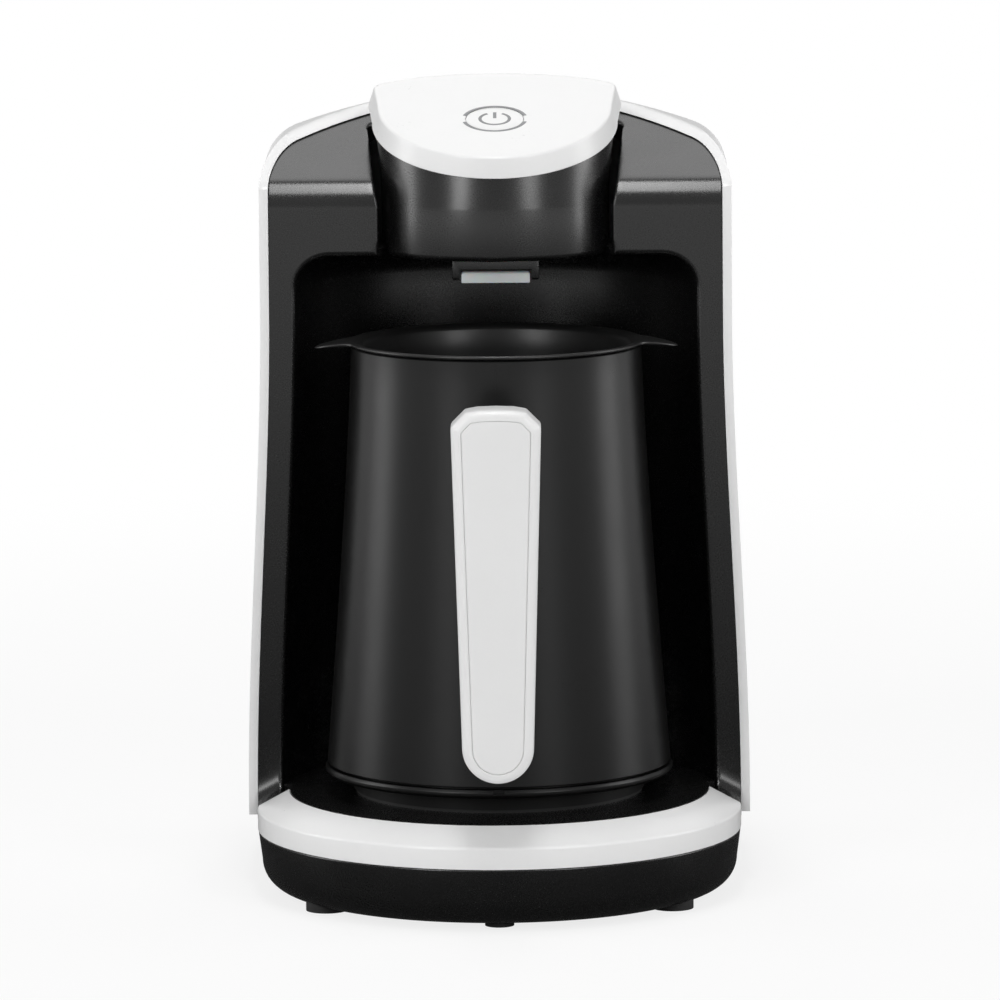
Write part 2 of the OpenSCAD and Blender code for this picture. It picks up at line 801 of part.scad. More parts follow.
module switch_plunger() {
    color("#d9d4c8") on_cap() translate([0, button_v, -6.6]) cylinder(r = 1.7, h = 5.2);
}

/* ---- electronics ---- */

module control_board() {
    color(green) difference() {
        translate([-board_half, board_y, board_z0]) cube([2 * board_half, board_t, board_z1 - board_z0]);
        both_sides() for (z = [board_z0 + 6, board_z1 - 6]) rod_y(board_post_x, z, 1.5, 50, 70);
    }
    // posts that hold the board off the back of the housing
    color(black) both_sides() for (z = [board_z0 + 6, board_z1 - 6]) difference() {
        rod_y(board_post_x, z, 3.2, board_y + board_t, rear_y - shell_wall - tiny);
        rod_y(board_post_x, z, 1.45, board_y, board_y + 14);
    }
}
module relay() {
    color("#2b5f9e") translate([-20, board_y + board_t, 64]) cube([19, 15, 15.5]);
}
module transformer() {
    color("#d9b44a") translate([2, board_y + board_t, 60]) cube([24, 20, 18]);
    color("#3a3a3a") translate([-0.5, board_y + board_t, 64]) cube([2.5, 20, 10]);
    color("#3a3a3a") translate([26, board_y + board_t, 64]) cube([2.5, 20, 10]);
}
module capacitor() {
    color("#26384f") rod_y(-10, 105, 6, board_y + board_t, board_y + board_t + 18);
    color("#26384f") rod_y(-10, 121, 4, board_y + board_t, board_y + board_t + 12);
}
module buzzer() {
    color("#161616") difference() {
        rod_y(14, 112, 7, board_y + board_t, board_y + board_t + 8);
        rod_y(14, 112, 1.2, board_y + board_t + 5, board_y + board_t + 9);
    }
}
module terminal_block() {
    color("#e8e6dc") difference() {
        translate([-15, 66, cover_in_z + 0.1]) cube([30, 12, 12]);
        for (i = [-1:1]) rod_y(i * 8, 12.5, 2.2, 60, 90);
    }
}
module mains_leads() {
    color("#7a4a22") for (i = [-1:1])
        rod_y(i * 2, 13.2, 0.9, 78.2, 86.8);
}
module head_ribbon() {
    color("#c8c8c4") {
        translate([-6, board_y - 4, board_z1 - 8]) cube([12, 4, 1]);
        translate([-6, board_y - 4.8, board_z1 - 8]) cube([12, 0.8, 52]);
        translate([-6, 30, 193.8]) cube([12, board_y - 4.1 - 30, 0.8]);
    }
}
module cord_gland() {
    color("#202020") difference() {
        union() {
            rod_y(0, gland_z, 6, rear_y - 2.45, rear_y);
            rod_y(0, gland_z, 4.8, rear_y - 8, rear_y);
            rod_y(0, gland_z, 5.6, rear_y - 7.2, rear_y - 5.2);
        }
        rod_y(0, gland_z, gland_bore_r, rear_y - 12, rear_y + 1);
    }
}

/* ---- pot ---- */

// Side view of the jacket, grown by some gap, as a solid of revolution
module jacket_solid(grow) {
    at_pot() rotate_extrude($fn = 96) polygon(concat(
        [[0, jacket_z0]],
        [for (z = steps(jacket_z0, jacket_z1, 10)) [jacket_r(z) + grow, z]],
        [[0, jacket_z1]]
    ));
}

// Pouring lip on one side: a wedge from the rim down the wall
module spout_solid(grow, rise) {
    hull() {
        translate([36, pot_y, rim_z - 1.6 + rise]) cylinder(r = 10 + grow, h = 1.6, $fn = 32);
        translate([spout_x, pot_y, rim_z - 1.6 + rise]) cylinder(r = 2 + grow, h = 1.6, $fn = 24);
        translate([40, pot_y, rim_z - 18 + rise]) cylinder(r = 1.6 + grow, h = 1, $fn = 16);
    }
}

module pot_vessel() {
    color("#141414") difference() {
        union() {
            at_pot() rotate_extrude($fn = 96) {
                polygon(concat(
                    [[0, vessel_floor_z], [vessel_foot_r, vessel_floor_z]],
                    [for (z = steps(60, jacket_z1, 8)) [jacket_r(z) - jacket_wall - gap, z]],
                    [[jacket_r(jacket_z1) + 0.2, jacket_z1 + 0.1], [jacket_r(jacket_z1) + 0.9, rim_z - 1.4]],
                    [[jacket_r(jacket_z1) + 0.3, rim_z - 0.3], [jacket_r(jacket_z1) - 0.8, rim_z], [0, rim_z]]
                ));
            }
            both_sides() spout_solid(0, 0);
        }
        at_pot() rotate_extrude($fn = 96) polygon(concat(
            [[0, vessel_floor_z + vessel_wall], [vessel_foot_r - 1.3, vessel_floor_z + vessel_wall]],
            [for (z = steps(60, jacket_z1, 8))
                [jacket_r(z) - jacket_wall - gap - vessel_wall, z]],
            [[jacket_r(jacket_z1) - 1.6, rim_z + 0.1], [0, rim_z + 0.1]]
        ));
        both_sides() spout_solid(-1.1, 2);
    }
}

module pot_jacket() {
    color(black) difference() {
        jacket_solid(0);
        at_pot() rotate_extrude($fn = 96) polygon(concat(
            [[0, jacket_z0 - 1]],
            [for (z = steps(jacket_z0 - 1, jacket_z1 + 1, 10))
                [jacket_r(min(z, jacket_z1)) - jacket_wall, z]],
            [[0, jacket_z1 + 1]]
        ));
        both_sides() spout_solid(0.15, 0);
        // threads for the handle's screws
        for (z = handle_screw_z) rod_y(0, z, pilot_r, pot_y - 60, pot_y - 30);
    }
}

module pot_skirt() {
    color(black) at_pot() difference() {
        rotate_extrude($fn = 96) polygon([
            [vessel_foot_r + 0.2, lip_z], [50.9, lip_z], [52, lip_z + 1], [52, jacket_z0 - 2],
            [51.5, jacket_z0 - 0.6], [48.8, jacket_z0 - 0.6], [48.8, jacket_z0 + 0.6],
            [47.4, jacket_z0 + 0.6], [vessel_foot_r + 0.2, vessel_floor_z]
        ]);
        // mark on the mould's parting line, under the handle
        translate([-1.6, -54, jacket_z0 - 2]) cube([3.2, 3, 1.6]);
    }
}

module pot_sole() {
    color(steel) at_pot() translate([0, 0, plate_z])
        cylinder(r = vessel_foot_r, h = vessel_floor_z - plate_z - tiny);
}

handle_screw_z = [124, 140];

// Front view of the handle: chamfered shoulders, tapered sides and a round foot
function grip_half(inset) =
    let (top = handle_z1 - inset, cut = 3.4, half = handle_top_w / 2 - inset,
        foot = handle_foot_w / 2 - inset, foot_z = handle_z0 + inset + foot)
    concat(
        arc([0, foot_z], foot, -90, 0, 8),
        [[half, handle_z1 - 8], [half - inset * 0.4, handle_z1 - 5 - inset * 0.3],
            [half - cut, top - 1.2], [half - cut - 1.5, top - 0.4], [0, top]]);
function grip_outline(inset) =
    let (half = grip_half(inset))
    concat(half, [for (i = [len(half) - 2:-1:1]) [-half[i][0], half[i][1]]]);

module handle_bracket() {
    color(black) difference() {
        along_x(-9, 9) polygon([
            [handle_y + handle_t + 0.05, neck_z1], [handle_y + handle_t + 0.05, neck_z0 + 2],
            [pot_y - 52, neck_z0], [pot_y - 40, neck_z0 - 4], [pot_y - 38, neck_z1 - 2]]);
        jacket_solid(0.05);
        for (z = handle_screw_z) rod_y(0, z, pilot_r, handle_y - 1, pot_y);
    }
}

module handle_grip() {
    color(white) difference() {
        along_y(handle_y, handle_y + handle_t) polygon(grip_outline(0));
        // recess for the inlay
        along_y(handle_y - 1, handle_y + 1.4) polygon(grip_outline(2));
        // hollow back
        along_y(handle_y + 4, handle_y + handle_t + 1) intersection() {
            polygon(grip_outline(2.6));
            translate([-20, handle_z0]) square([40, neck_z0 - 4 - handle_z0]);
        }
        for (z = handle_screw_z) {
            rod_y(0, z, 1.8, handle_y, handle_y + 20);
            rod_y(0, z, 3.2, handle_y, handle_y + 4);
        }
    }
}

module handle_inlay() {
    color(white) along_y(handle_y, handle_y + 1.35) polygon(grip_outline(2.25));
}

module handle_screws() {
    color(steel) for (z = handle_screw_z) {
        rod_y(0, z, screw_head_r, handle_y + 2.1, handle_y + 4);
        rod_y(0, z, screw_r, handle_y + 2.1, pot_y - 44);
    }
}

/* ---- drawn parts ---- */

base_housing();
bottom_cover();
rubber_feet();
base_screws();
trim_ring();
deck();
hot_plate();
plate_seal();
heating_element();
heater_clamp();
clamp_screws();
thermal_cutout();
heat_sensor();
sensor_spring();
heater_leads();
front_frame();
rear_shell();
shell_screws();
head_housing();
sensor_window();
sensor_board();
top_cap();
cap_screws();
light_guide();
button_board();
tact_switch();
board_screws();
power_button();
button_icon();
switch_plunger();
control_board();
relay();
transformer();
capacitor();
buzzer();
terminal_block();
mains_leads();
head_ribbon();
cord_gland();
pot_vessel();
pot_jacket();
pot_skirt();
pot_sole();
handle_bracket();
handle_grip();
handle_inlay();
handle_screws();
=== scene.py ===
# %% [markdown]
# # An electric maker for Turkish coffee
# A white shell wraps a black front, a pot stands in a round bay on a hot plate, and a head with a
# tilted cap hangs over it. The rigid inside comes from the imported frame. This lesson models the
# skin again with soft edges, and gives every piece a finish made of nodes.

# %% Load the frame
import bpy
from math import acos, asin, atan2, cos, pi, radians, sin, sqrt, tan
from mathutils import Matrix, Vector


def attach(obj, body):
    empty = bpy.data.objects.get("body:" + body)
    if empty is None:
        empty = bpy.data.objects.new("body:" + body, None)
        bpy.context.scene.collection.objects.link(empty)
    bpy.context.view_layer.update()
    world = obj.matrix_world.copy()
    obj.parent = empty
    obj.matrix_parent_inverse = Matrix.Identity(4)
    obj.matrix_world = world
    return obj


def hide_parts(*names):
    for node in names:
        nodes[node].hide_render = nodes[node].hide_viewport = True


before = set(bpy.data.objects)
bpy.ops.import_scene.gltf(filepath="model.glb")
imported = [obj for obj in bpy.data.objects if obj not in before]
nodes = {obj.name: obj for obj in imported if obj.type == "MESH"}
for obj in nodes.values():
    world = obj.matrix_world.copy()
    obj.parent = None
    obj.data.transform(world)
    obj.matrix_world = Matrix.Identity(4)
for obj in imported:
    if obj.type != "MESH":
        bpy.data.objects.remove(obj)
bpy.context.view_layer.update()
mm = 0.001

# %% [markdown]
# ## Camera
# A long lens from a little over two metres keeps the sides nearly parallel. The camera looks down
# by about eight degrees, so the deck and the cap's slope both show. It also rolls very slightly,
# so its three axes are worked out here and written straight into its matrix.

# %% Camera
eye = Vector((7.9, -2268.0, 434.2))
target = Vector((0.82, -11.0, 117.58))
roll = radians(-0.42)
ahead = (target - eye).normalized()
right = ahead.cross(Vector((0, 0, 1))).normalized()
up = right.cross(ahead)
side = cos(roll) * right + sin(roll) * up
top = cos(roll) * up - sin(roll) * right
bpy.ops.object.select_all(action="DESELECT")
bpy.ops.object.camera_add()
camera = bpy.context.object
camera.name = "camera"
camera.matrix_world = Matrix.LocRotScale(eye * mm, Matrix((side, top, -ahead)).transposed(), None)
camera.data.lens = 274.97
camera.data.clip_end = 100
bpy.context.scene.camera = camera
print("camera", round((target - eye).length), "mm away, lens", camera.data.lens)

# %% [markdown]
# ## Helpers for the mesh work
# Nearly every skin here is a set of sections: rows of points that run round or along the piece.
# A grid is added with as many rows and columns, and each row is moved onto its section. The seam
# is merged, the holes are filled and the normals are turned outwards. Soft edges are part of the
# sections, so that light runs along them as it does on a moulding.

# %% Grid onto sections
tiny = 0.00001  # metres; points closer than this are one point


def tidy_mesh(fill=False):
    """Cleans the active object's mesh and turns its faces outwards."""
    bpy.ops.object.mode_set(mode="EDIT")
    bpy.ops.mesh.select_all(action="SELECT")
    bpy.ops.mesh.remove_doubles(threshold=tiny)
    bpy.ops.mesh.dissolve_degenerate(threshold=tiny)
    bpy.ops.mesh.delete_loose(use_verts=True, use_edges=True, use_faces=False)
    if fill:
        bpy.ops.mesh.select_all(action="SELECT")
        bpy.ops.mesh.fill_holes(sides=0)
    bpy.ops.mesh.select_all(action="SELECT")
    bpy.ops.mesh.normals_make_consistent(inside=False)
    bpy.ops.mesh.select_mode(type="VERT")
    bpy.ops.object.mode_set(mode="OBJECT")


def loft(name, rows, fill=False):
    bpy.ops.object.select_all(action="DESELECT")
    bpy.ops.mesh.primitive_grid_add(x_subdivisions=len(rows[0]) - 1, y_subdivisions=len(rows) - 1, size=1)
    obj = bpy.context.object
    obj.name = name
    for vertex, point in zip(obj.data.vertices, [p for row in rows for p in row]):
        vertex.co = Vector(point) * mm
    tidy_mesh(fill)
    print(name, "has", len(obj.data.polygons), "faces")
    return obj


# %% Modifiers, shading and body
def apply_modifier(obj, kind, **settings):
    bpy.ops.object.select_all(action="DESELECT")
    obj.select_set(True)
    bpy.context.view_layer.objects.active = obj
    modifier = obj.modifiers.new(kind.title(), kind)
    for key, value in settings.items():
        setattr(modifier, key, value)
    bpy.ops.object.modifier_apply(modifier=modifier.name)


def wall_inwards(obj, thickness, outwards):
    """Gives an open skin its wall. The face farthest along outwards has to look that way."""
    face = max(obj.data.polygons, key=lambda f: f.center.dot(Vector(outwards)))
    if face.normal.dot(Vector(outwards)) < 0:
        obj.data.flip_normals()
    apply_modifier(obj, "SOLIDIFY", thickness=thickness * mm, offset=-1, use_even_offset=False)


def soften(obj, radius, angle=40, segments=2):
    apply_modifier(obj, "BEVEL", width=radius * mm, segments=segments, limit_method="ANGLE",
                   angle_limit=radians(angle), harden_normals=False)


def done(obj, body, replaced, smooth=35):
    bpy.ops.object.select_all(action="DESELECT")
    obj.select_set(True)
    bpy.context.view_layer.objects.active = obj
    bpy.ops.object.shade_smooth_by_angle(angle=radians(smooth))
    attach(obj, body)
    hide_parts(*replaced)


def steps(a, b, n):
    return [a + (b - a) * i / n for i in range(n + 1)]


# %% [markdown]
# ## The arch
# The shell and the front share one outline: sides that spread a little towards the foot, small
# corners and one wide arc over the top. Each could have its own curve, but two curves drift apart
# as soon as one is changed. So it is written once, as a function of its inset, and the shell's
# outside, its inside and the frame's rim always fit.

# %% Arched outline
half_top, flare, arch_top, arch_r, corner_r = 70.4, 5.0, 235.2, 179.5, 15.2
pot_y, face_y, rear_y, rear_corner, rear_top_r = -11.0, -4.0, 95.0, 40.0, 34.0
arch_z = arch_top - arch_r
corner_x = half_top - corner_r
corner_z = arch_z + sqrt((arch_r - corner_r) ** 2 - corner_x ** 2)
meet = atan2(corner_z - arch_z, corner_x)
print("the arch starts at x", round(arch_r * cos(meet), 1), "z", round(arch_z + arch_r * sin(meet), 1))
shell_z, bend_z, bend_r, shoulder = 21.5, 211.0, 9.0, radians(18.5)
flare_z, flare_h = 175, 150
# marks on the path up the arch: a height as far as side_s, then the small corner starts at
# corner_s, the wide arc at arch_s, and the middle is reached at apex_s
side_s, corner_s, arch_s, apex_s = 165, 180, 220, 265


def half_w(z):
    u = min(1, max(0, (flare_z - z) / flare_h))
    return half_top + flare * u * u * (3 - 2 * u)


def arch_point(s, inset=0.0):
    """Point on the right half. s is the height as far as side_s, and reaches apex_s at the top."""
    if s <= side_s:
        return half_w(s) - inset, s
    if s <= corner_s:
        z = side_s + (corner_z - side_s) * (s - side_s) / (corner_s - side_s)
        return half_w(z) - inset, z
    if s <= arch_s:
        a = meet * (s - corner_s) / (arch_s - corner_s)
        return corner_x + (corner_r - inset) * cos(a), corner_z + (corner_r - inset) * sin(a)
    a = meet + (pi / 2 - meet) * (s - arch_s) / (apex_s - arch_s)
    return (arch_r - inset) * cos(a), arch_z + (arch_r - inset) * sin(a)


def both(half):
    """A right half that ends on the middle plane, with its mirrored left half."""
    return half + [(-p[0],) + tuple(p[1:]) for p in reversed(half[:-1])]


# %% [markdown]
# ## Rear shell
# One white moulding closes the sides, the top and the back. Its front edge stands upright along
# the sides, then leans back with the shoulders. The sections run round the arch, from the back
# round the big rear corner to that edge, and then back again inside. Solidify would cut the edge
# square to the wall, so the inner skin is made here too and the rim lies in the shoulders' plane.
# Low in the back, slots let the warm air out, and four screws sit in round recesses. Both are cut
# by booleans. The two outermost slots run into the lower recesses, as they do in the solid.

# %% Rear shell
shell_wall, shoulder_end = 2.7, 52.0
side_rows, bend_rows = 6, 12
last_row = side_rows + bend_rows
arch_steps = steps(shell_z, side_s, 24) + steps(166, corner_s, 3) + steps(183, arch_s, 14)
arch_steps += steps(224, apex_s, 11)


def shell_front(z):
    return min(shoulder_end, max(face_y, face_y + (z - bend_z) / tan(shoulder)))


def shell_row(i, inset=0.0):
    """Row 0 is the front edge, the next ones run back along the sides and then round the corner."""
    row = []
    for s in arch_steps:
        x, z = arch_point(s, inset)
        if i <= side_rows:
            front = shell_front(z)
            row.append((x, front + (rear_y - rear_corner - front) * i / side_rows, z))
        else:
            a = radians(90 * (i - side_rows) / bend_rows)
            fx = 1 - (rear_corner - inset) * (1 - cos(a)) / (half_top + flare - inset)
            fz = 1 - (rear_top_r - inset) * (1 - cos(a)) / (arch_top - inset - shell_z)
            row.append((x * fx, rear_y - rear_corner + (rear_corner - inset) * sin(a),
                        shell_z + (z - shell_z) * fz))
    return both(row)


outer_rows = [shell_row(i) for i in range(last_row, -1, -1)]
inner_rows = [shell_row(i, shell_wall) for i in range(last_row + 1)]
rear_shell = loft("rear_shell_skin", outer_rows + inner_rows)
# the rows end round the flat part of the back, so both skins get one face there
for y in (rear_y, rear_y - shell_wall):
    bpy.ops.object.mode_set(mode="EDIT")
    bpy.ops.mesh.select_all(action="DESELECT")
    bpy.ops.object.mode_set(mode="OBJECT")
    for v in rear_shell.data.vertices:
        v.select = abs(v.co.y - y * mm) < tiny
    bpy.ops.object.mode_set(mode="EDIT")
    bpy.ops.mesh.edge_face_add()
    bpy.ops.object.mode_set(mode="OBJECT")
tidy_mesh(fill=True)
print("rear shell:", len(rear_shell.data.polygons), "faces")


# %% Slots and screw holes in the back
def block(name, low, high):
    bpy.ops.object.select_all(action="DESELECT")
    bpy.ops.mesh.primitive_cube_add(size=1)
    obj = bpy.context.object
    obj.name = name
    for v in obj.data.vertices:
        v.co = Vector([(low[k] if v.co[k] < 0 else high[k]) * mm for k in range(3)])
    return obj


def rod(name, centre, axis, radius, length, sides=48):
    bpy.ops.object.select_all(action="DESELECT")
    turn = {"y": (pi / 2, 0, 0), "z": (0, 0, 0)}[axis]
    bpy.ops.mesh.primitive_cylinder_add(vertices=sides, radius=radius * mm, depth=length * mm,
                                        location=Vector(centre) * mm, rotation=turn)
    obj = bpy.context.object
    obj.name = name
    bpy.ops.object.transform_apply(location=True, rotation=True, scale=True)
    return obj


def join(objs):
    bpy.ops.object.select_all(action="DESELECT")
    for o in objs:
        o.select_set(True)
    bpy.context.view_layer.objects.active = objs[0]
    bpy.ops.object.join()
    return objs[0]


def cut(obj, cutter, operation="DIFFERENCE"):
    apply_modifier(obj, "BOOLEAN", operation=operation, object=cutter, solver="EXACT")
    bpy.data.objects.remove(cutter)


slot_pitch, slot_in, slot_low, slot_high = 8, 1.5, 30, 42
shell_screws = [(x, z) for x in (-28, 28) for z in (40, 186)]
recess_r, recess_depth, screw_hole_r = 3.4, 1.4, 1.8
slots = []
for i in range(-3, 4):
    x = slot_pitch * i
    slots.append(block("slot", (x - slot_in, 85, slot_low), (x + slot_in, 100, slot_high)))
recesses = [rod("recess", (x, rear_y, z), "y", recess_r, 2 * recess_depth) for x, z in shell_screws]
screw_holes = [rod("hole", (x, 92, z), "y", screw_hole_r, 12) for x, z in shell_screws]
for cutters in (slots, recesses, screw_holes):
    cut(rear_shell, join(cutters))
soften(rear_shell, 0.45)
done(rear_shell, "chassis", ["rear_shell"])

# %% [markdown]
# ## Front frame
# The black moulding fills the shell's mouth. Its face is flat, bends back into two sloping
# shoulders and runs forward in a hollow curve at each foot, below a ridge that falls outwards.
# A soft edge turns it into the round bay. A boolean could cut the bay out of a block, but the soft
# edge would then be a bevel across many small faces, and it has to change its width and its
# direction here. So each row of the grid follows one path: from the rim in the shell, over the
# face, round the edge and along the bay to the middle of its back.

# %% The face as a height field
face_in, edge_r, bay_top, bay_corner, bay_margin = 0.4, 1.6, 190.0, 10.0, 10
frame_fit, slot_edge = 2.8, 0.8
foot_r, ridge_z, ridge_x, foot_fall = 6.3, 37.5, 62.7, radians(28.4)
foot_y, foot_top = pot_y + 0.1, 60


def face_depth(z, x=0.0):
    """y of the face at height z, and at x where the cheek's foot runs forward to foot_y."""
    y0, r = face_y + face_in, bend_r - face_in
    zc = bend_z + bend_r * tan(shoulder) - bend_r / cos(shoulder)
    drop = (ridge_z - (abs(x) - ridge_x) * tan(foot_fall) - z) * cos(foot_fall)
    if z < foot_top and drop >= foot_r:
        return foot_y
    if z < foot_top and drop > 0:
        return max(foot_y, y0 - foot_r + sqrt(foot_r ** 2 - drop ** 2))
    if z <= zc:
        return y0
    if z <= zc + r * cos(shoulder):
        return face_y + bend_r - sqrt(max(0.0, r * r - (z - zc) ** 2))
    return face_y + (z - bend_z + face_in / cos(shoulder)) / tan(shoulder)


def into_face(z):
    """Unit vector into the material, across the face at height z."""
    slope = (face_depth(z + 0.05) - face_depth(z - 0.05)) / 0.1
    return Vector((0, 1, -slope)).normalized()


def bay_r(z):
    return half_w(z) - bay_margin


# %% Paths over the face and round the bay
slot_half, slot_top, slot_flare_z, slot_flare_h = 34.9, 38.9, 205, 22
rim_lap, rim_soft = 5, 0.4  # how deep the rim stands in the shell, and its soft edge
slot_depth, cheek_x = 5, 64.7  # the slot's depth, and where the bay's edge stands low down


def slot_w(z):
    return slot_half + (slot_top - slot_half) * min(1, max(0, (z - slot_flare_z) / slot_flare_h))


def face_path(inner, outer, inward, wall, edge=edge_r):
    """Rim, face and soft edge between two points of the face, then the wall's points."""
    start = Vector((inner[0] + edge * inward[0], 0, inner[1] + edge * inward[1]))
    rim = face_depth(outer[1], outer[0])
    path = [(outer[0], rim + rim_lap, outer[1]), (outer[0], rim + rim_soft, outer[1])]
    for u in (0.01, 0.03, 0.1, 0.2, 0.3, 0.4, 0.5, 0.6, 0.7, 0.8, 0.9, 0.96):
        x, z = outer[0] + (start.x - outer[0]) * u, outer[1] + (start.z - outer[1]) * u
        path.append((x, face_depth(z, x), z))
    for b in steps(0, pi / 2, 6):
        x, z = inner[0] + edge * inward[0] * (1 - sin(b)), inner[1] + edge * inward[1] * (1 - sin(b))
        path.append(tuple(Vector((x, face_depth(z, x), z)) + into_face(z) * edge * (1 - cos(b))))
    return path + wall(path[-1])


def bay_wall(last):
    r = sqrt(last[0] ** 2 + (last[1] - pot_y) ** 2)
    a0 = asin(min(1, (last[1] - pot_y) / r))
    return [(r * cos(a), pot_y + r * sin(a), last[2]) for a in steps(a0, pi / 2, 24)[1:]]


def slot_wall(last):
    d = into_face(last[2])
    return [tuple(Vector(last) + d * (slot_depth * i / 24)) for i in range(1, 25)]


# heights on the rim where the paths end that start beside the bay's upright wall, round its
# corner and along its top, and the height from which the slot's paths end
side_end, corner_end, top_end, slot_start = 180, 192, 197, 197.4


def rim_fall(z):
    """How much lower a path ends at the rim than at the bay, so that it follows the ridge."""
    fall = (half_w(z) - frame_fit - cheek_x) * tan(foot_fall)
    return fall * min(1, (z - shell_z) / 7.5) * min(1, max(0, (foot_top - z) / 20))


paths = []
for z in steps(shell_z, 28, 4) + steps(29, 36.4, 8) + steps(36.9, 52, 6) + steps(55, side_end, 34):
    end_z = z - rim_fall(z)
    x = sqrt(bay_r(z) ** 2 - (face_depth(z, cheek_x) + edge_r - pot_y) ** 2)
    paths.append(face_path((x, z), (half_w(end_z) - frame_fit, end_z), (1, 0), bay_wall))
frame_x = half_top - frame_fit
edge_depth = face_y + face_in + edge_r - pot_y
for i, a in enumerate(steps(0, pi / 2, 10)[1:], 1):
    r = bay_r(bay_top) - bay_corner + bay_corner * cos(a)
    inner = (sqrt(r * r - edge_depth ** 2), bay_top - bay_corner + bay_corner * sin(a))
    end_z = side_end + (corner_end - side_end) * i / 10
    paths.append(face_path(inner, (frame_x, end_z), (cos(a), sin(a)), bay_wall))
x0 = sqrt((bay_r(bay_top) - bay_corner) ** 2 - edge_depth ** 2)
for i, x in enumerate(steps(x0, slot_half + edge_r, 7)[1:], 1):
    end_z = corner_end + (top_end - corner_end) * i / 8
    paths.append(face_path((x, bay_top), (frame_x, end_z), (0, 1), bay_wall))
mitre = (slot_half, bay_top), (frame_x, top_end), (1, 1)
paths.append(face_path(*mitre, bay_wall))
print(len(paths), "paths of", len(paths[0]), "points round the bay")

# %% Slot for the head, and the strip behind it
slot_rear, roof_y = (37.2, 46.7), 54.5


def arch_side(z):
    """x of the frame's outer line at height z, from the upright side to the arch."""
    a = asin(min(1, max(0, (z - corner_z) / (corner_r - frame_fit))))
    if a < meet:
        return corner_x + (corner_r - frame_fit) * cos(a)
    return sqrt((arch_r - frame_fit) ** 2 - (z - arch_z) ** 2)


def shoulder_z(y):
    return bend_z - face_in / cos(shoulder) + (y - face_y) * tan(shoulder)


z_turn, roof_end = shoulder_z(slot_rear[0]), shoulder_z(roof_y)
upper = [face_path(*mitre, slot_wall)]
for u in steps(0, 1, 44):
    z = bay_top + edge_r + (z_turn - bay_top - edge_r) * u
    outer_z = slot_start + (z_turn - slot_start) * u
    # the bay's wide soft edge narrows to the slot's over the first 3 mm
    edge = slot_edge + (edge_r - slot_edge) * max(0, 1 - (z - bay_top - edge_r) / 3)
    upper.append(face_path((slot_w(z), z), (arch_side(outer_z), outer_z), (1, 0), slot_wall, edge))
for a in steps(0, pi / 2, 24)[1:]:
    x = cos(a) ** 0.5 if a < 1.57 else 0
    outer_x = arch_side(z_turn) * x
    outer_z = min(roof_end, arch_z + sqrt((arch_r - frame_fit) ** 2 - outer_x ** 2))
    inner = (slot_top * x, shoulder_z(slot_rear[0] + (slot_rear[1] - slot_rear[0]) * sin(a) ** 0.8))
    upper.append(face_path(inner, (outer_x, outer_z), (cos(a), sin(a)), slot_wall, slot_edge))
halves = []
for k, part in enumerate((paths, upper)):
    for sign in (1, -1):
        half = [[(sign * x, y, z) for x, y, z in row] for row in part]
        halves.append(loft(f"front_{k}_{sign}", half))
front_frame = join(halves)
front_frame.name = "front_frame_skin"
tidy_mesh()
print("front frame:", len(front_frame.data.polygons), "faces")
wall_inwards(front_frame, 2.0, (0, -1, 0.2))
done(front_frame, "chassis", ["front_frame"], smooth=30)

# %% [markdown]
# ## Base and trim ring
# The base is a bowl with a footprint that is half round in front and has rounded corners behind.
# A bevelled box could do for the corners, but not for a round foot that leans in all the way
# round, so one section is carried round the footprint. A flat pad behind carries the cord's
# collar. The white ring in front is a half turn of a small section, made by a spin, with a soft
# crease where its top starts to fall outwards.

# %% Rounded profiles
def rounded(points, segments=5):
    """Closed profile of (a, b, radius) corners, each corner rounded by its radius."""
    out = []
    for i, (a, b, r) in enumerate(points):
        here = Vector((a, b))
        if r == 0:
            out.append((a, b))
            continue
        before = (Vector(points[i - 1][:2]) - here).normalized()
        after = (Vector(points[(i + 1) % len(points)][:2]) - here).normalized()
        half = acos(max(-1, min(1, before.dot(after)))) / 2
        middle = here + (before + after).normalized() * (r / sin(half))
        start, end = here + before * (r / tan(half)), here + after * (r / tan(half))
        for k in range(segments + 1):
            arm = (start - middle).lerp(end - middle, k / segments).normalized() * r
            out.append(tuple(middle + arm))
    return out


def turned(name, profile, turns=160, a0=0.0, a1=2 * pi):
    """Spins a closed profile of (r, z) about the upright axis through the pot."""
    bpy.ops.object.select_all(action="DESELECT")
    bpy.ops.mesh.primitive_circle_add(vertices=len(profile), fill_type="NOTHING")
    obj = bpy.context.object
    obj.name = name
    for vertex, (r, z) in zip(obj.data.vertices, profile):
        vertex.co = Vector((r * cos(a0), pot_y + r * sin(a0), z)) * mm
    bpy.ops.object.mode_set(mode="EDIT")
    bpy.ops.mesh.select_all(action="SELECT")
    bpy.ops.mesh.spin(steps=turns, angle=a1 - a0, center=(0, pot_y * mm, 0), axis=(0, 0, -1))
    bpy.ops.object.mode_set(mode="OBJECT")
    tidy_mesh(fill=a1 - a0 < 2 * pi - 0.01)
    front = min(v.co.y for v in obj.data.vertices) / mm
    print(name, "has", len(obj.data.polygons), "faces, front at y", round(front, 1))
    return obj


# %% Base bowl
base_r, base_top, base_round, base_draft, foot_gap, base_in = 72.3, 19.0, 8.5, 1.1, 1.6, 2.5
frame_screw_x, frame_screw_y, frame_hole_r, base_wall = 55, 30, 3.3, 2.5
gland_z, gland_hole_r, gland_pad_r, pad_y, pad_depth = 14.5, 4.9, 6.9, 90.27, 4.54


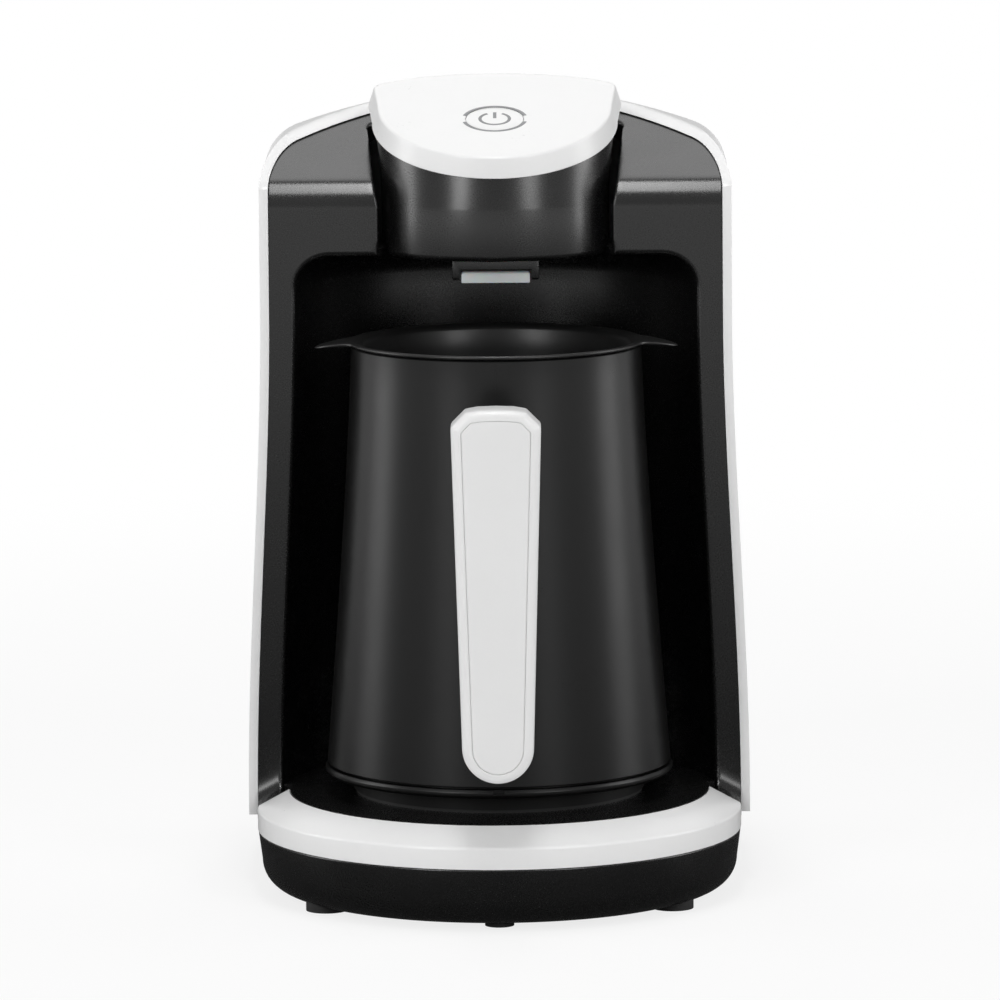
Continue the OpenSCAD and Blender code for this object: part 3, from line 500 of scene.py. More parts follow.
def footprint(inset):
    r, rc, cx = base_r - inset, rear_corner - base_in - inset, base_r - rear_corner + base_in
    half = [(r * sin(a), pot_y - r * cos(a)) for a in steps(0, pi / 2, 40)]
    half += [(r, y) for y in (pot_y + 0.1, 0, 20, 40)]
    half += [(cx + rc * cos(a), rear_y - rear_corner + rc * sin(a)) for a in steps(0, pi / 2, 20)]
    return both(half + [(0, rear_y - rear_corner + rc)])


def wall_z(z, y):
    """Marks over 19 follow the wall's top, which steps up behind: 30 is the top, 20 is 0.5 below."""
    top = base_top if y < pot_y + 0.05 else shell_z
    if z < 19:
        return z
    return top - (30 - z) * (0.05 if z < 25 else 1)


# each point is (inset, height): the inner foot, the round under the bowl, the wall and its inside
section = [(22.2, 4.1), (22.2, foot_gap + 0.4), (21.8, foot_gap)]
for a in steps(pi / 2, 0, 12):
    section.append((base_draft + base_round * (1 - cos(a)), foot_gap + base_round * (1 - sin(a))))
section.append((0, base_top - 0.5))
section += rounded([(0, 20, 0), (0, 30, 0.5), (base_wall, 30, 0.5), (base_wall, 20, 0)])
section += [(base_wall, 11), (3.2, 8), (5.5, 5.4), (10, 4.1)]
rows = [[(x, y, wall_z(z, y)) for x, y in footprint(inset)] for inset, z in section + section[:1]]
base_skin = loft("base_skin", rows)
pad = rod("pad", (0, pad_y, gland_z), "y", gland_pad_r, pad_depth, sides=64)
cut(base_skin, pad, operation="UNION")
holes = []
for x in (-frame_screw_x, frame_screw_x):
    holes.append(rod("hole", (x, frame_screw_y, 3), "z", frame_hole_r, 4))
holes.append(rod("hole", (0, 90, gland_z), "y", gland_hole_r, 14))
cut(base_skin, join(holes))
done(base_skin, "chassis", ["base_housing"])

# %% Trim ring
ring_in, ring_out, ring_edge, ring_top, ring_lip, ring_back = 62.7, 72.5, 25.4, 30.7, 28.0, 70.0
trim_ring = turned("trim_ring_skin", rounded([
    (ring_out, base_top, 0.3), (ring_out, ring_edge, 1.2), (ring_in, ring_top, 0.35),
    (ring_in, ring_lip, 0.2), (ring_in + 1.5, ring_lip, 0.2), (ring_back, ring_edge - 1.6, 0.2),
    (ring_back, base_top, 0.2)]), turns=96, a0=pi, a1=2 * pi)
soften(trim_ring, 0.25, angle=60)
done(trim_ring, "chassis", ["trim_ring"])

# %% [markdown]
# ## Head
# The head is a column with an elliptic nose. It hangs in the frame's slot, swells gently under
# the cap and ends in a flat sole with a rounded edge. A stretched cylinder could be its start,
# but its upper end has another shape and tilt, so it is lofted from one outline to the other.
# The cap is a shallow tilted lid: a wall that leans in a little, a small round edge, a flat top
# and a round hole for the button. Behind, it ends in a flat arc between small corners. Its rows
# start under the top, run down inside the wall, up outside it, over the edge and across the top,
# and gather round the hole. The last ones go down the hole and close the loop, so the lid has a
# thickness.

# %% Outline with a nose
cap_y, cap_z, cap_a = -21.5, 220.4, radians(18)
cap_half, cap_len, cap_front, cap_side, cap_spread = 38.2, 68.0, 42.0, 6.2, 1.3
column_half, nose, rear_arc_x, rear_arc_v = 34.0, (-20.0, 12.0, 35.0, 43.5), 40, 15.3
button_v, button_r, guide_r = 31.0, 8.6, 9.85


def nose_outline(half, y0, y1, y2, y3):
    """Elliptic nose from y0 to y1, straight sides as far as y2 and a blunt rear that ends at y3."""
    quarter = steps(0, pi / 2, 24)
    right_half = [(half * sin(a), y1 - (y1 - y0) * cos(a)) for a in steps(0, pi / 2, 36)]
    right_half += [(half, y1 + (y2 - y1) * k / 5) for k in range(1, 5)]
    right_half += [(half * max(0, cos(a)) ** 0.5, y2 + (y3 - y2) * sin(a) ** 0.8) for a in quarter]
    return both(right_half)


def on_cap(x, v, w):
    """Point on the tilted cap: v runs up its slope from the front edge, w stands off its top."""
    return x, cap_y + v * cos(cap_a) - w * sin(cap_a), cap_z + v * sin(cap_a) + w * cos(cap_a)


def cap_rear_v(x, inset):
    """v of the flat elliptic arc that ends the cap behind."""
    return cap_len - inset - rear_arc_v * (1 - sqrt(1 - (x / rear_arc_x) ** 2))


def cap_outline(inset):
    """Round nose, sides that spread a little, small corners and a flat arc behind them."""
    half = cap_half - inset
    slim, side = half - cap_spread, cap_rear_v(half, inset) - 1.4
    right_half = [(slim * sin(a), cap_front - (cap_front - inset) * cos(a)) for a in steps(0, pi / 2, 36)]
    for k in (1, 2, 3, 4):
        right_half.append((slim + cap_spread * k / 4, cap_front + (side - cap_front) * k / 4))
    right_half += [(half - 0.15, side + 0.8), (half - 0.5, side + 1.3)]
    rear_xs = [(half - 1.1) * sin(a) for a in steps(pi / 2, 0, 22)]
    return both(right_half + [(x, cap_rear_v(x, inset)) for x in rear_xs])


# %% Column
sole_z, sole_r, straight_z, swell_z = bay_top - 0.25, 1.8, 200, 205
rows = []
for b in steps(0, pi / 2, 5):
    inset = sole_r * (1 - sin(b))
    sole = nose_outline(column_half - inset, nose[0] + inset, nose[1], nose[2], nose[3] - inset)
    rows.append([(x, y, sole_z + sole_r * (1 - cos(b))) for x, y in sole])
lower = nose_outline(column_half, *nose)
rows.append([(x, y, straight_z) for x, y in lower])
upper_edge = [on_cap(x, v, -cap_side - 0.05) for x, v in cap_outline(0.8)]
for u in steps(0, 1, 14):
    swell = 0.35 * u + 0.65 * u ** 2.2
    reach = 0.6 * u + 0.4 * swell
    row = []
    for (x0, y0), (x1, y1, z1) in zip(lower, upper_edge):
        row.append((x0 + (x1 - x0) * swell, y0 + (y1 - y0) * reach, swell_z + (z1 - swell_z) * u))
    rows.append(row)
column = loft("head_skin", rows, fill=True)

# %% Pod that holds the window
pod_half, pod_y0, pod_y1, pod_z = 13, -6, 13, 183
window_half, window_z0, window_z1 = 10.2, 182.2, 185.6
pod = block("pod", (-pod_half, pod_y0, pod_z), (pod_half, pod_y1, bay_top + 1))
# the window sits in a recess with a tenth of a millimetre of air at its sides and top
cut(pod, block("recess", (-10.3, -7, 180), (10.3, 7.6, 185.7)))
soften(pod, 0.7, segments=3)
print("pod has", len(pod.data.polygons), "faces")
column = join([column, pod])
done(column, "chassis", ["head_housing"])

# %% Window of the boil-over sensor
window = block("window_skin", (-window_half, -6.6, window_z0), (window_half, 6.4, window_z1))
bpy.ops.object.mode_set(mode="EDIT")
bpy.ops.mesh.select_all(action="DESELECT")
bpy.ops.object.mode_set(mode="OBJECT")
# the two long upper edges run in depth and get a broad round
for e in window.data.edges:
    a, b = (window.data.vertices[k].co for k in e.vertices)
    e.select = abs(a.y - b.y) > 5 * mm and a.z > (window_z1 - 0.1) * mm
bpy.ops.object.mode_set(mode="EDIT")
bpy.ops.mesh.select_mode(type="EDGE")
bpy.ops.mesh.bevel(offset=1.1 * mm, segments=5)
bpy.ops.object.mode_set(mode="OBJECT")
soften(window, 0.25)
print("window has", len(window.data.polygons), "faces")
done(window, "chassis", ["sensor_window"])

# %% Cap
hole_r, hole_soft, cap_wall, flat_in = button_r + 0.15, 0.12, 2.2, 3.2


def ring_row(r, w):
    """A row round the hole, with each point in the same direction as its partner on the outline."""
    out = []
    for x, v in cap_outline(flat_in):
        arm = (Vector((x, v)) - Vector((0, button_v))).normalized() * r
        out.append((arm.x, button_v + arm.y, w))
    return out


# each pair is (inset, height off the top): inside the wall, under it, up outside, over the edge
wall_pairs = [(2.6, -cap_wall), (2.4, -6.0), (2.2, -cap_side), (0.35, -cap_side), (0.1, -6.12), (0, -5.9)]
wall_pairs += [(0.6, -3.9), (1.2, -1.9), (1.58, -0.62), (1.7, -0.36), (1.92, -0.14), (2.2, -0.03), (2.6, 0)]
rows = [[(x, v, w) for x, v in cap_outline(inset)] for inset, w in wall_pairs]
flat = [Vector((x, v, 0)) for x, v in cap_outline(flat_in)]
rim = [Vector(p) for p in ring_row(hole_r + 1.6, 0)]
rows += [[tuple(a.lerp(b, u)) for a, b in zip(flat, rim)] for u in (0, 0.25, 0.5, 0.75, 1)]
rows += [ring_row(hole_r + hole_soft, 0), ring_row(hole_r, -hole_soft), ring_row(hole_r, -cap_wall)]
rows.append(rows[0])
cap = loft("cap_skin", [[on_cap(*p) for p in row] for row in rows])
done(cap, "chassis", ["top_cap"], smooth=28)

# %% [markdown]
# ## Power button
# A round push button sits in the cap. The mark on it is an open ring and a bar, and two thin arcs
# lie round it in the cap. They are flush light guides, so they stand only a few hundredths of a
# millimetre proud. A picture on the cap would give the mark too, but it would blur close up and
# couldn't move with the button, so all of them are thin solids laid out on the cap's slope.

# %% Button, mark and arcs
def round_button(r, a, w):
    """Point at radius r and angle a from the button's middle, w off the cap's top."""
    return on_cap(r * cos(a), button_v + r * sin(a), w)


def cap_disc(name, profile):
    rows = [[round_button(r, a, w) for a in steps(0, 2 * pi, 96)] for r, w in profile]
    return loft(name, rows, fill=True)


def cap_arc(name, r_in, r_out, a0, a1, w0, w1):
    """A thin arc from w0 to w1, with its top edges broken."""
    top = w1 + 0.02
    profile = [(r_in, w0), (r_in, w1), (r_in + 0.03, top), (r_out - 0.03, top), (r_out, w1), (r_out, w0)]
    profile.append(profile[0])
    rows = [[round_button(r, a, w) for r, w in profile] for a in steps(a0, a1, 48)]
    return loft(name, rows, fill=True)


button = cap_disc("button_skin", [
    (button_r, -3.2), (button_r, -0.25), (8.53, -0.08), (8.35, 0), (6, 0), (3, 0)])
flange = cap_disc("flange", [
    (9.8, -3.4), (10.6, -3.4), (10.75, -3.25), (10.75, -2.55), (10.6, -2.4), (8, -2.4)])
button = join([button, flange])
done(button, "power_button", ["power_button"])
gap = radians(14)
arcs = join([cap_arc("arc", hole_r, guide_r, a + gap, a + pi - gap, -1.5, 0.01) for a in (0, pi)])
arcs.name = "light_arcs"
done(arcs, "chassis", ["light_guide"])
icon_ring = cap_arc("mark_ring", 3.9, 4.9, radians(120), radians(420), -0.4, 0.01)
bar = [(-0.5, 0.4), (0.5, 0.4), (0.5, 4.8), (-0.5, 4.8)]
bar_rows = [[on_cap(x, button_v + v, w) for x, v in bar + bar[:1]] for w in (-0.4, 0.03)]
icon = join([icon_ring, loft("mark_bar", bar_rows, fill=True)])
icon.name = "power_mark"
done(icon, "power_button", ["button_icon"])

# %% [markdown]
# ## Pot
# The jacket is a plain turned cone whose side bulges a little, so it and its skirt are spun. The
# coated vessel inside it shows only as a thin beaded rim, drawn out on each side into a pouring
# lip that droops a little. It can't be spun, and lips pulled out afterwards would stretch the
# bead. So it is lofted with a radius that depends on the angle: near the sides it swells, most at
# the bead and not at all lower down.

# %% Jacket and skirt
jacket_z0, jacket_z1, jacket_end = 39.4, 162.0, 164.6
jacket_top_r, jacket_foot_r, jacket_wall, jacket_soft = 43.3, 51.4, 1.9, 0.4


def jacket_r(z):
    """Outer radius, which widens from jacket_z1 down to the foot."""
    down = max(0, jacket_z1 - z) / (jacket_z1 - jacket_z0)
    return jacket_top_r + (jacket_foot_r - jacket_top_r) * down ** 1.25


outer = [(jacket_r(z), z) for z in steps(jacket_z0 + jacket_soft, jacket_end - jacket_soft, 40)]
inner = [(jacket_r(z) - jacket_wall, z) for z in steps(jacket_end, jacket_z0, 20)]
foot, end = (jacket_foot_r - 0.3, jacket_z0), (jacket_top_r - jacket_soft, jacket_end)
jacket = turned("jacket_skin", [foot] + outer + [end] + inner)
done(jacket, "pot", ["pot_jacket"])
skirt = turned("skirt_skin", rounded([
    (46.7, 36.2, 0), (50.9, 36.2, 0.4), (52, 37.2, 0.4), (52, 38.0, 0.35), (51.5, 38.8, 0.25),
    (48.8, 38.8, 0), (48.8, 40.0, 0), (47.4, 40.0, 0), (46.7, 38.9, 0)], segments=4))
cut(skirt, block("mark", (-1.6, -66, 37.4), (1.6, -62, 39.2)))
done(skirt, "pot", ["pot_skirt"])


# %% Vessel with its pouring lips
vessel_floor, vessel_foot_r, middle_r = 38.9, 46.5, 0.001
lip_out, lip_angle, lip_droop = 10.2, 0.27, 1.7
rim_r = jacket_r(jacket_z1)


def lip(a, strength):
    """How far the wall is drawn out at angle a from the side."""
    b = abs((a + pi / 2) % pi - pi / 2) / lip_angle
    return strength * (lip_out * (0.5 + 0.5 * cos(pi * min(1, b))) ** 1.5)


def vessel_point(r, z, strength, a):
    out = lip(a, strength)
    droop = lip_droop * (out / lip_out) ** 1.5
    return (r + out) * cos(a), pot_y + (r + out) * sin(a), z - droop


# each point is (radius, height, share of the lip): up outside, round the bead, down inside
profile = [(middle_r, vessel_floor + 0.1, 0), (44.5, vessel_floor + 0.1, 0)]
profile += [(vessel_foot_r, vessel_floor + 2, 0)] + [(jacket_r(z) - 2.5, z, 0) for z in steps(60, 150, 6)]
bead = [(-2.3, 158, 0), (-2.3, 163.5, 0), (-2.1, 164.5, 0.05), (-1.4, 164.75, 0.2), (-0.6, 164.8, 0.45),
        (0.1, 164.85, 0.75), (0.4, 165.0, 0.92), (0.52, 165.35, 1), (0.42, 165.7, 1), (0.15, 165.92, 0.98),
        (-0.25, 166.0, 0.94), (-0.8, 165.9, 0.8), (-1.5, 165.75, 0.6), (-2.3, 165.4, 0.33),
        (-3.0, 164.9, 0.1), (-3.4, 164.0, 0), (-3.6, 158, 0)]
profile += [(rim_r + out, z, share) for out, z, share in bead]
profile += [(jacket_r(z) - 3.7, z, 0) for z in steps(148, 60, 6)]
profile += [(45.6, 46, 0), (44.4, 42, 0), (42.5, 40.6, 0), (39.5, 40.1, 0), (middle_r, 40.1, 0)]
round_steps = steps(0, 2 * pi, 240)
vessel = loft("vessel_skin", [[vessel_point(r, z, k, a) for a in round_steps] for r, z, k in profile])
done(vessel, "pot", ["pot_vessel"], smooth=50)

# %% [markdown]
# ## Handle
# The handle is a tapered bar with chamfered shoulders, a round foot and rounded front edges. Its
# front has a fine groove inside that rounding, where the front plate sits in the body. A bevelled
# bar would have the same rounding at the front as behind. All rows here are the same outline at
# other insets and depths, so the front, the back and the groove each get their own.

# %% Grip
handle_y, handle_z1, handle_len = pot_y - 84, 155.1, 108.9
handle_z0, top_w, foot_w = handle_z1 - handle_len, 26.0, 20.8
# the straight side ends side_top below the top; then come a shoulder's points, as distances in
# from the side and down from the top
side_top = 6.5
shoulder_points = (0, 5.6), (0.1, 5.1), (0.4, 4.6), (3.9, 1.1), (4.3, 0.82), (5, 0.66)


def grip_outline(inset):
    """Outline from the foot's middle to the top's; farther in, the shoulders get smaller."""
    top, half, foot = handle_z1 - inset, top_w / 2 - inset, foot_w / 2 - inset
    k = max(0.12, 1 - 0.11 * inset)
    base = handle_z0 + inset + foot
    side_h = top - side_top * k - base
    half_line = [(foot * sin(a), base - foot * cos(a)) for a in steps(0, pi / 2, 24)]
    half_line += [(foot + (half - foot) * u, base + side_h * u) for u in steps(0, 1, 16)[1:]]
    half_line += [(half - x * k, top - z * k) for x, z in shoulder_points]
    half_line += [(half * 0.4, top - 0.15 * k), (0, top)]
    return both(half_line)


def grip_row(inset, depth):
    return [(x, handle_y + depth, z) for x, z in grip_outline(inset)]


# each pair is (inset, depth): out at the back, forward along the side, round the front, the groove
body_pairs = [(3.6, 5.0), (3.6, 13.2), (3.3, 13.5), (1.0, 13.5), (0.35, 13.2), (0, 12.4), (0, 2.6)]
body_pairs += [(0.1, 1.8), (0.4, 1.1), (0.9, 0.55), (1.6, 0.2), (2.4, 0.05), (2.85, 0.04)]
body_pairs += [(2.94, 0.14), (2.94, 0.8), (3.6, 0.9), (3.6, 5.0)]
grip = loft("grip_skin", [grip_row(inset, depth) for inset, depth in body_pairs])
plug = loft("plug", [grip_row(3.6, 0.9), grip_row(3.6, 4.0)], fill=True)
grip = join([grip, plug])
done(grip, "pot", ["handle_grip"], smooth=40)
plate_pairs = [(3.04, 0.8), (3.04, 0.16), (3.16, 0.05), (3.5, 0.02), (5, 0), (8, 0)]
plate = loft("grip_plate", [grip_row(inset, depth) for inset, depth in plate_pairs], fill=True)
done(plate, "pot", ["handle_inlay"], smooth=40)

# %% [markdown]
# ## Shader maths
# A finish is a small sum of patterns. The class below wraps a socket, so patterns can be added
# and multiplied as in any formula, and one method makes every other node.

# %% Wires and finishes
class Wire:
    """An output socket that can stand in a formula; each operator adds one Math node."""

    def __init__(self, tree, socket):
        self.tree, self.socket = tree, socket

    def maths(self, operation, other, swapped=False):
        a, b = (other, self) if swapped else (self, other)
        return make(self.tree, "ShaderNodeMath", {"operation": operation}, {0: a, 1: b})

    def __add__(self, other):
        return self.maths("ADD", other)

    def __radd__(self, other):
        return self.maths("ADD", other, True)

    def __sub__(self, other):
        return self.maths("SUBTRACT", other)

    def __rsub__(self, other):
        return self.maths("SUBTRACT", other, True)

    def __mul__(self, other):
        return self.maths("MULTIPLY", other)

    def __rmul__(self, other):
        return self.maths("MULTIPLY", other, True)

    def __pow__(self, other):
        return self.maths("POWER", other)

    def __lt__(self, other):
        return self.maths("LESS_THAN", other)

    def __gt__(self, other):
        return self.maths("GREATER_THAN", other)

    def __abs__(self):
        return self.maths("ABSOLUTE", 0.0)


def make(tree, kind, settings, sockets, output=0):
    """Adds a node, gives it its settings, fills or links its inputs and returns one output."""
    node = tree.nodes.new(kind)
    for key, value in settings.items():
        setattr(node, key, value)
    for key, value in sockets.items():
        if isinstance(value, Wire):
            tree.links.new(value.socket, node.inputs[key])
        else:
            node.inputs[key].default_value = value
    return Wire(tree, node.outputs[output])


class Finish:
    """A material with one Principled shader, and patterns in the object's own coordinates."""

    def __init__(self, name, **constants):
        self.material = bpy.data.materials.new(name)
        self.material.use_nodes = True
        self.tree = self.material.node_tree
        self.shader = self.tree.nodes["Principled BSDF"]
        for key, value in constants.items():
            self.shader.inputs[key.replace("_", " ")].default_value = value
        self.place = self.make("ShaderNodeTexCoord", {}, {}, output="Object")

    def make(self, kind, settings, sockets, output=0):
        return make(self.tree, kind, settings, sockets, output)

    def feed(self, socket, wire):
        self.tree.links.new(wire.socket, self.shader.inputs[socket])

    def noise(self, scale, detail=2.0, stretch=(1, 1, 1)):
        place = self.make("ShaderNodeMapping", {}, {"Vector": self.place, "Scale": stretch})
        return self.make("ShaderNodeTexNoise", {}, {"Vector": place, "Scale": scale, "Detail": detail})

    def axis(self, name):
        return self.make("ShaderNodeSeparateXYZ", {}, {0: self.place}, output=name)

    def tint(self, factor, low, high):
        sockets = {0: factor, 6: (*low, 1), 7: (*high, 1)}
        self.feed("Base Color", self.make("ShaderNodeMix", {"data_type": "RGBA"}, sockets, output=2))

    def relief(self, height, depth):
        """depth is in millimetres of height for a pattern of 0 to 1."""
        sockets = {"Height": height, "Distance": depth * mm, "Strength": 1.0}
        self.feed("Normal", self.make("ShaderNodeBump", {}, sockets))


def dress(name, finish):
    """Puts a finish on a CAD node or on a piece of the scene."""
    obj = nodes.get(name) or bpy.data.objects[name]
    obj.data.materials.clear()
    obj.data.materials.append(finish.material)


# %% [markdown]
# ## Finishes of the housing
# The black mouldings are satin plastic with a very fine spark-eroded grain. Two sizes of noise
# make it in the bump. The finer one, together with a broad one, also moves the colour and the
# gloss a little. The white mouldings have a broader, softer grain under a thin clear gloss. An
# image could carry the grain, but it would repeat and blur close up, and noise does neither.

# %% Moulded plastics
def grey(value):
    return value, value, value


def grained_plastic(name, dark, light, gloss, grain, depth, **constants):
    f = Finish(name, Roughness=gloss, **constants)
    fine, broad = f.noise(grain, 3.0), f.noise(60.0, 2.0)
    f.tint(broad * 0.6 + fine * 0.4, dark, light)
    f.feed("Roughness", broad * 0.06 + fine * 0.08 + (gloss - 0.07))
    f.relief(fine * 0.8 + f.noise(grain * 0.4) * 0.4, depth)
    return f


black_plastic = grained_plastic("black plastic", grey(0.0042), grey(0.006), 0.27, 2600, 0.0015,
                                Specular_IOR_Level=0.85)
pot_plastic = grained_plastic("pot plastic", grey(0.0045), grey(0.0065), 0.3, 3200, 0.015,
                              Specular_IOR_Level=0.45)
white_plastic = grained_plastic("white plastic", grey(0.80), (0.84, 0.84, 0.838), 0.3, 900, 0.004,
                                Coat_Weight=0.15, Coat_Roughness=0.15)
handle_white = grained_plastic("handle white", grey(0.77), (0.81, 0.81, 0.808), 0.36, 1400, 0.006,
                               Coat_Weight=0.1, Coat_Roughness=0.2)
grey_mark = grained_plastic("grey mark", (0.2, 0.205, 0.21), (0.25, 0.255, 0.26), 0.4, 3000, 0.003)
frosted = grained_plastic("frosted window", (0.86, 0.88, 0.88), (0.92, 0.94, 0.94), 0.45, 2200, 0.012,
                          Subsurface_Weight=0.3, Subsurface_Scale=0.003, Transmission_Weight=0.05)
rubber = grained_plastic("rubber", grey(0.018), grey(0.03), 0.75, 1500, 0.03)
coating = grained_plastic("vessel coating", grey(0.008), grey(0.014), 0.36, 3000, 0.015,
                          Specular_IOR_Level=0.6)

# the jacket's two mould halves meet in a fine line down its front, so its bump is made anew
seam_half, front_side = 0.00013, -0.05
seam = (abs(pot_plastic.axis("X")) < seam_half) * (pot_plastic.axis("Y") < front_side)
pot_plastic.relief(pot_plastic.noise(3200, 3.0) * 0.9 - seam * 6.0, 0.02)
print("black plastic has", len(black_plastic.tree.nodes), "nodes")

# %% [markdown]
# ## Finishes of metal and small parts
# The sole and the plate are turned, so their fine rings follow the radius from the pot's axis. A
# Wave texture can make rings too, but a sine of the radius has its pitch in plain millimetres.
# Drawn or plated steel has a fine noise drawn out upwards. Boards, ceramics and wires inside get
# plain finishes with a grain and small changes of tone.

# %% Metals
def turned_metal(name, colour, gloss, pitch):
    f = Finish(name, Metallic=1.0, Roughness=gloss)
    x, y = f.axis("X"), f.axis("Y") - pot_y * mm
    radius = (x * x + y * y) ** 0.5
    rings = f.make("ShaderNodeMath", {"operation": "SINE"}, {0: radius * (2 * pi / (pitch * mm))})
    wear = f.noise(45.0, 3.0)
    f.tint(wear, tuple(c * 0.82 for c in colour), colour)
    f.feed("Roughness", wear * 0.15 + rings * 0.03 + (gloss - 0.06))
    f.relief(rings * 0.5 + 0.5, 0.01)
    return f


def plated_metal(name, colour, gloss):
    f = Finish(name, Metallic=1.0, Roughness=gloss)
    streak, spots = f.noise(700, 2.0, (1, 1, 0.1)), f.noise(90.0, 3.0)
    f.tint(spots, tuple(c * 0.8 for c in colour), colour)
    f.feed("Roughness", streak * 0.15 + spots * 0.1 + (gloss - 0.12))
    f.relief(streak, 0.006)
    return f


# the plate and the pot's sole get a near-black colour, painted shade for the dark gap under the pot
plate_painted_shade = turned_metal("plate with painted shade", grey(0.03), 0.5, 0.35)
sole_painted_shade = turned_metal("sole with painted shade", grey(0.035), 0.45, 0.5)
zinc = plated_metal("zinc plate", (0.6, 0.61, 0.63), 0.34)
dark_steel = plated_metal("heater steel", (0.3, 0.3, 0.32), 0.45)
sensor_steel = plated_metal("sensor steel", (0.62, 0.62, 0.64), 0.28)
print("zinc has", len(zinc.tree.nodes), "nodes, the turned plate", len(plate_painted_shade.tree.nodes))

# %% Inner parts
# the plate's seal is near black too, painted shade for the same gap under the pot
silicone = grained_plastic("silicone", grey(0.012), grey(0.02), 0.6, 1200, 0.01)
ceramic = grained_plastic("ceramic", (0.62, 0.58, 0.5), (0.72, 0.68, 0.6), 0.55, 1100, 0.02)
red_wire = grained_plastic("red wire", (0.42, 0.03, 0.02), (0.5, 0.05, 0.03), 0.4, 900, 0.01)
brown_wire = grained_plastic("brown wire", (0.12, 0.05, 0.02), (0.16, 0.07, 0.03), 0.4, 900, 0.01)
switch_black = grained_plastic("switch black", (0.02, 0.02, 0.022), (0.03, 0.03, 0.032), 0.45, 1800, 0.01)
cream = grained_plastic("cream plastic", (0.66, 0.62, 0.52), (0.74, 0.7, 0.6), 0.42, 1500, 0.008)
relay_blue = grained_plastic("relay blue", (0.025, 0.12, 0.32), (0.04, 0.16, 0.4), 0.35, 1500, 0.006)
tape = grained_plastic("yellow tape", (0.55, 0.4, 0.08), (0.68, 0.52, 0.14), 0.4, 600, 0.02)
sleeve = grained_plastic("blue sleeve", (0.02, 0.035, 0.08), (0.03, 0.05, 0.12), 0.25, 700, 0.006)
ribbon = grained_plastic("grey ribbon", grey(0.42), grey(0.52), 0.5, 900, 0.01)
board = Finish("circuit board", Roughness=0.4)
tracks = board.noise(260.0, 0.0, (1, 0.2, 1))
copper = 0.52
patches = (tracks > copper) * 0.6 + board.noise(40.0) * 0.4
board.tint(patches, (0.008, 0.07, 0.03), (0.02, 0.15, 0.06))
board.relief(tracks > copper, 0.03)
print("circuit board has", len(board.tree.nodes), "nodes")

# %% Dress every piece
finishes = {
    black_plastic: "front_frame_skin base_skin head_skin "
                   "base_housing front_frame head_housing deck bottom_cover",
    white_plastic: "rear_shell_skin trim_ring_skin cap_skin button_skin "
                   "rear_shell trim_ring top_cap power_button",
    pot_plastic: "jacket_skin skirt_skin pot_jacket pot_skirt handle_bracket",
    handle_white: "grip_skin grip_plate handle_grip handle_inlay",
    grey_mark: "light_arcs power_mark light_guide button_icon",
    frosted: "window_skin sensor_window",
    coating: "vessel_skin pot_vessel",
    rubber: "rubber_feet cord_gland",
    plate_painted_shade: "hot_plate",
    sole_painted_shade: "pot_sole",
    sensor_steel: "heat_sensor",
    dark_steel: "heating_element",
    zinc: "base_screws clamp_screws shell_screws cap_screws board_screws handle_screws "
          "heater_clamp sensor_spring",
    silicone: "plate_seal",
    ceramic: "thermal_cutout",
    red_wire: "heater_leads",
    brown_wire: "mains_leads",
    switch_black: "tact_switch buzzer",
    cream: "switch_plunger terminal_block",
    relay_blue: "relay",
    tape: "transformer",
    sleeve: "capacitor",
    ribbon: "head_ribbon",
    board: "sensor_board button_board control_board"}
for finish, names in finishes.items():
    for name in names.split():
        dress(name, finish)
finish_names = [finish.material.name for finish in finishes]
bare = []
for name, node in nodes.items():
    if not node.data.materials or node.data.materials[0].name not in finish_names:
        bare.append(name)
print(len(finishes), "finishes, nodes left bare:", bare)

# %% [markdown]
# ## Stage and light
# The object stands on a pale floor in a bright, plain studio. Two soft boxes stand beside the
# camera, so the front gets light and the round black parts get two broad upright highlights. Two
# more stand at the sides and draw the narrow light along the edges. The box overhead is narrow in
# one direction and long in the other. That way it shows as one bright line in the bend of the
# shoulders without washing out the white cap, and the box behind lights the shoulders. The floor
# shows as white to the camera and through clear parts, and only the object's own shadow stays on
# it. In reflections it is a dim glow close to the object, a painted shadow, and white farther out,
# so the parts low down stay dark. The world is white to the same rays, and gives all others a
# faint even light.

# %% Floor
bpy.ops.object.select_all(action="DESELECT")
bpy.ops.mesh.primitive_plane_add(size=40, location=(0, 8, 0))
floor = bpy.context.object
floor.name = "floor"
bpy.ops.object.transform_apply(location=True, rotation=True, scale=True)
paper = bpy.data.materials.new("white paper")
paper.use_nodes = True
tree = paper.node_tree
tree.nodes.clear()
rays = tree.nodes.new("ShaderNodeLightPath")
place = make(tree, "ShaderNodeTexCoord", {}, {}, output="Object")
# distance from the object, which fades the painted shadow that reflections see on the floor
far = make(tree, "ShaderNodeVectorMath", {"operation": "LENGTH"}, {0: place}, output="Value")
painted_shadow_fade = make(tree, "ShaderNodeMapRange", {"interpolation_type": "SMOOTHSTEP"},
               {"Value": far, "From Min": 0.1, "From Max": 2.6})
glossy = Wire(tree, rays.outputs["Is Glossy Ray"])
seen = Wire(tree, rays.outputs["Is Camera Ray"]) + Wire(tree, rays.outputs["Is Transmission Ray"])
matt = make(tree, "ShaderNodeBsdfDiffuse", {}, {"Color": (0.86, 0.86, 0.86, 1)})
white = make(tree, "ShaderNodeEmission", {}, {"Color": (1, 1, 1, 1), "Strength": 1.0})
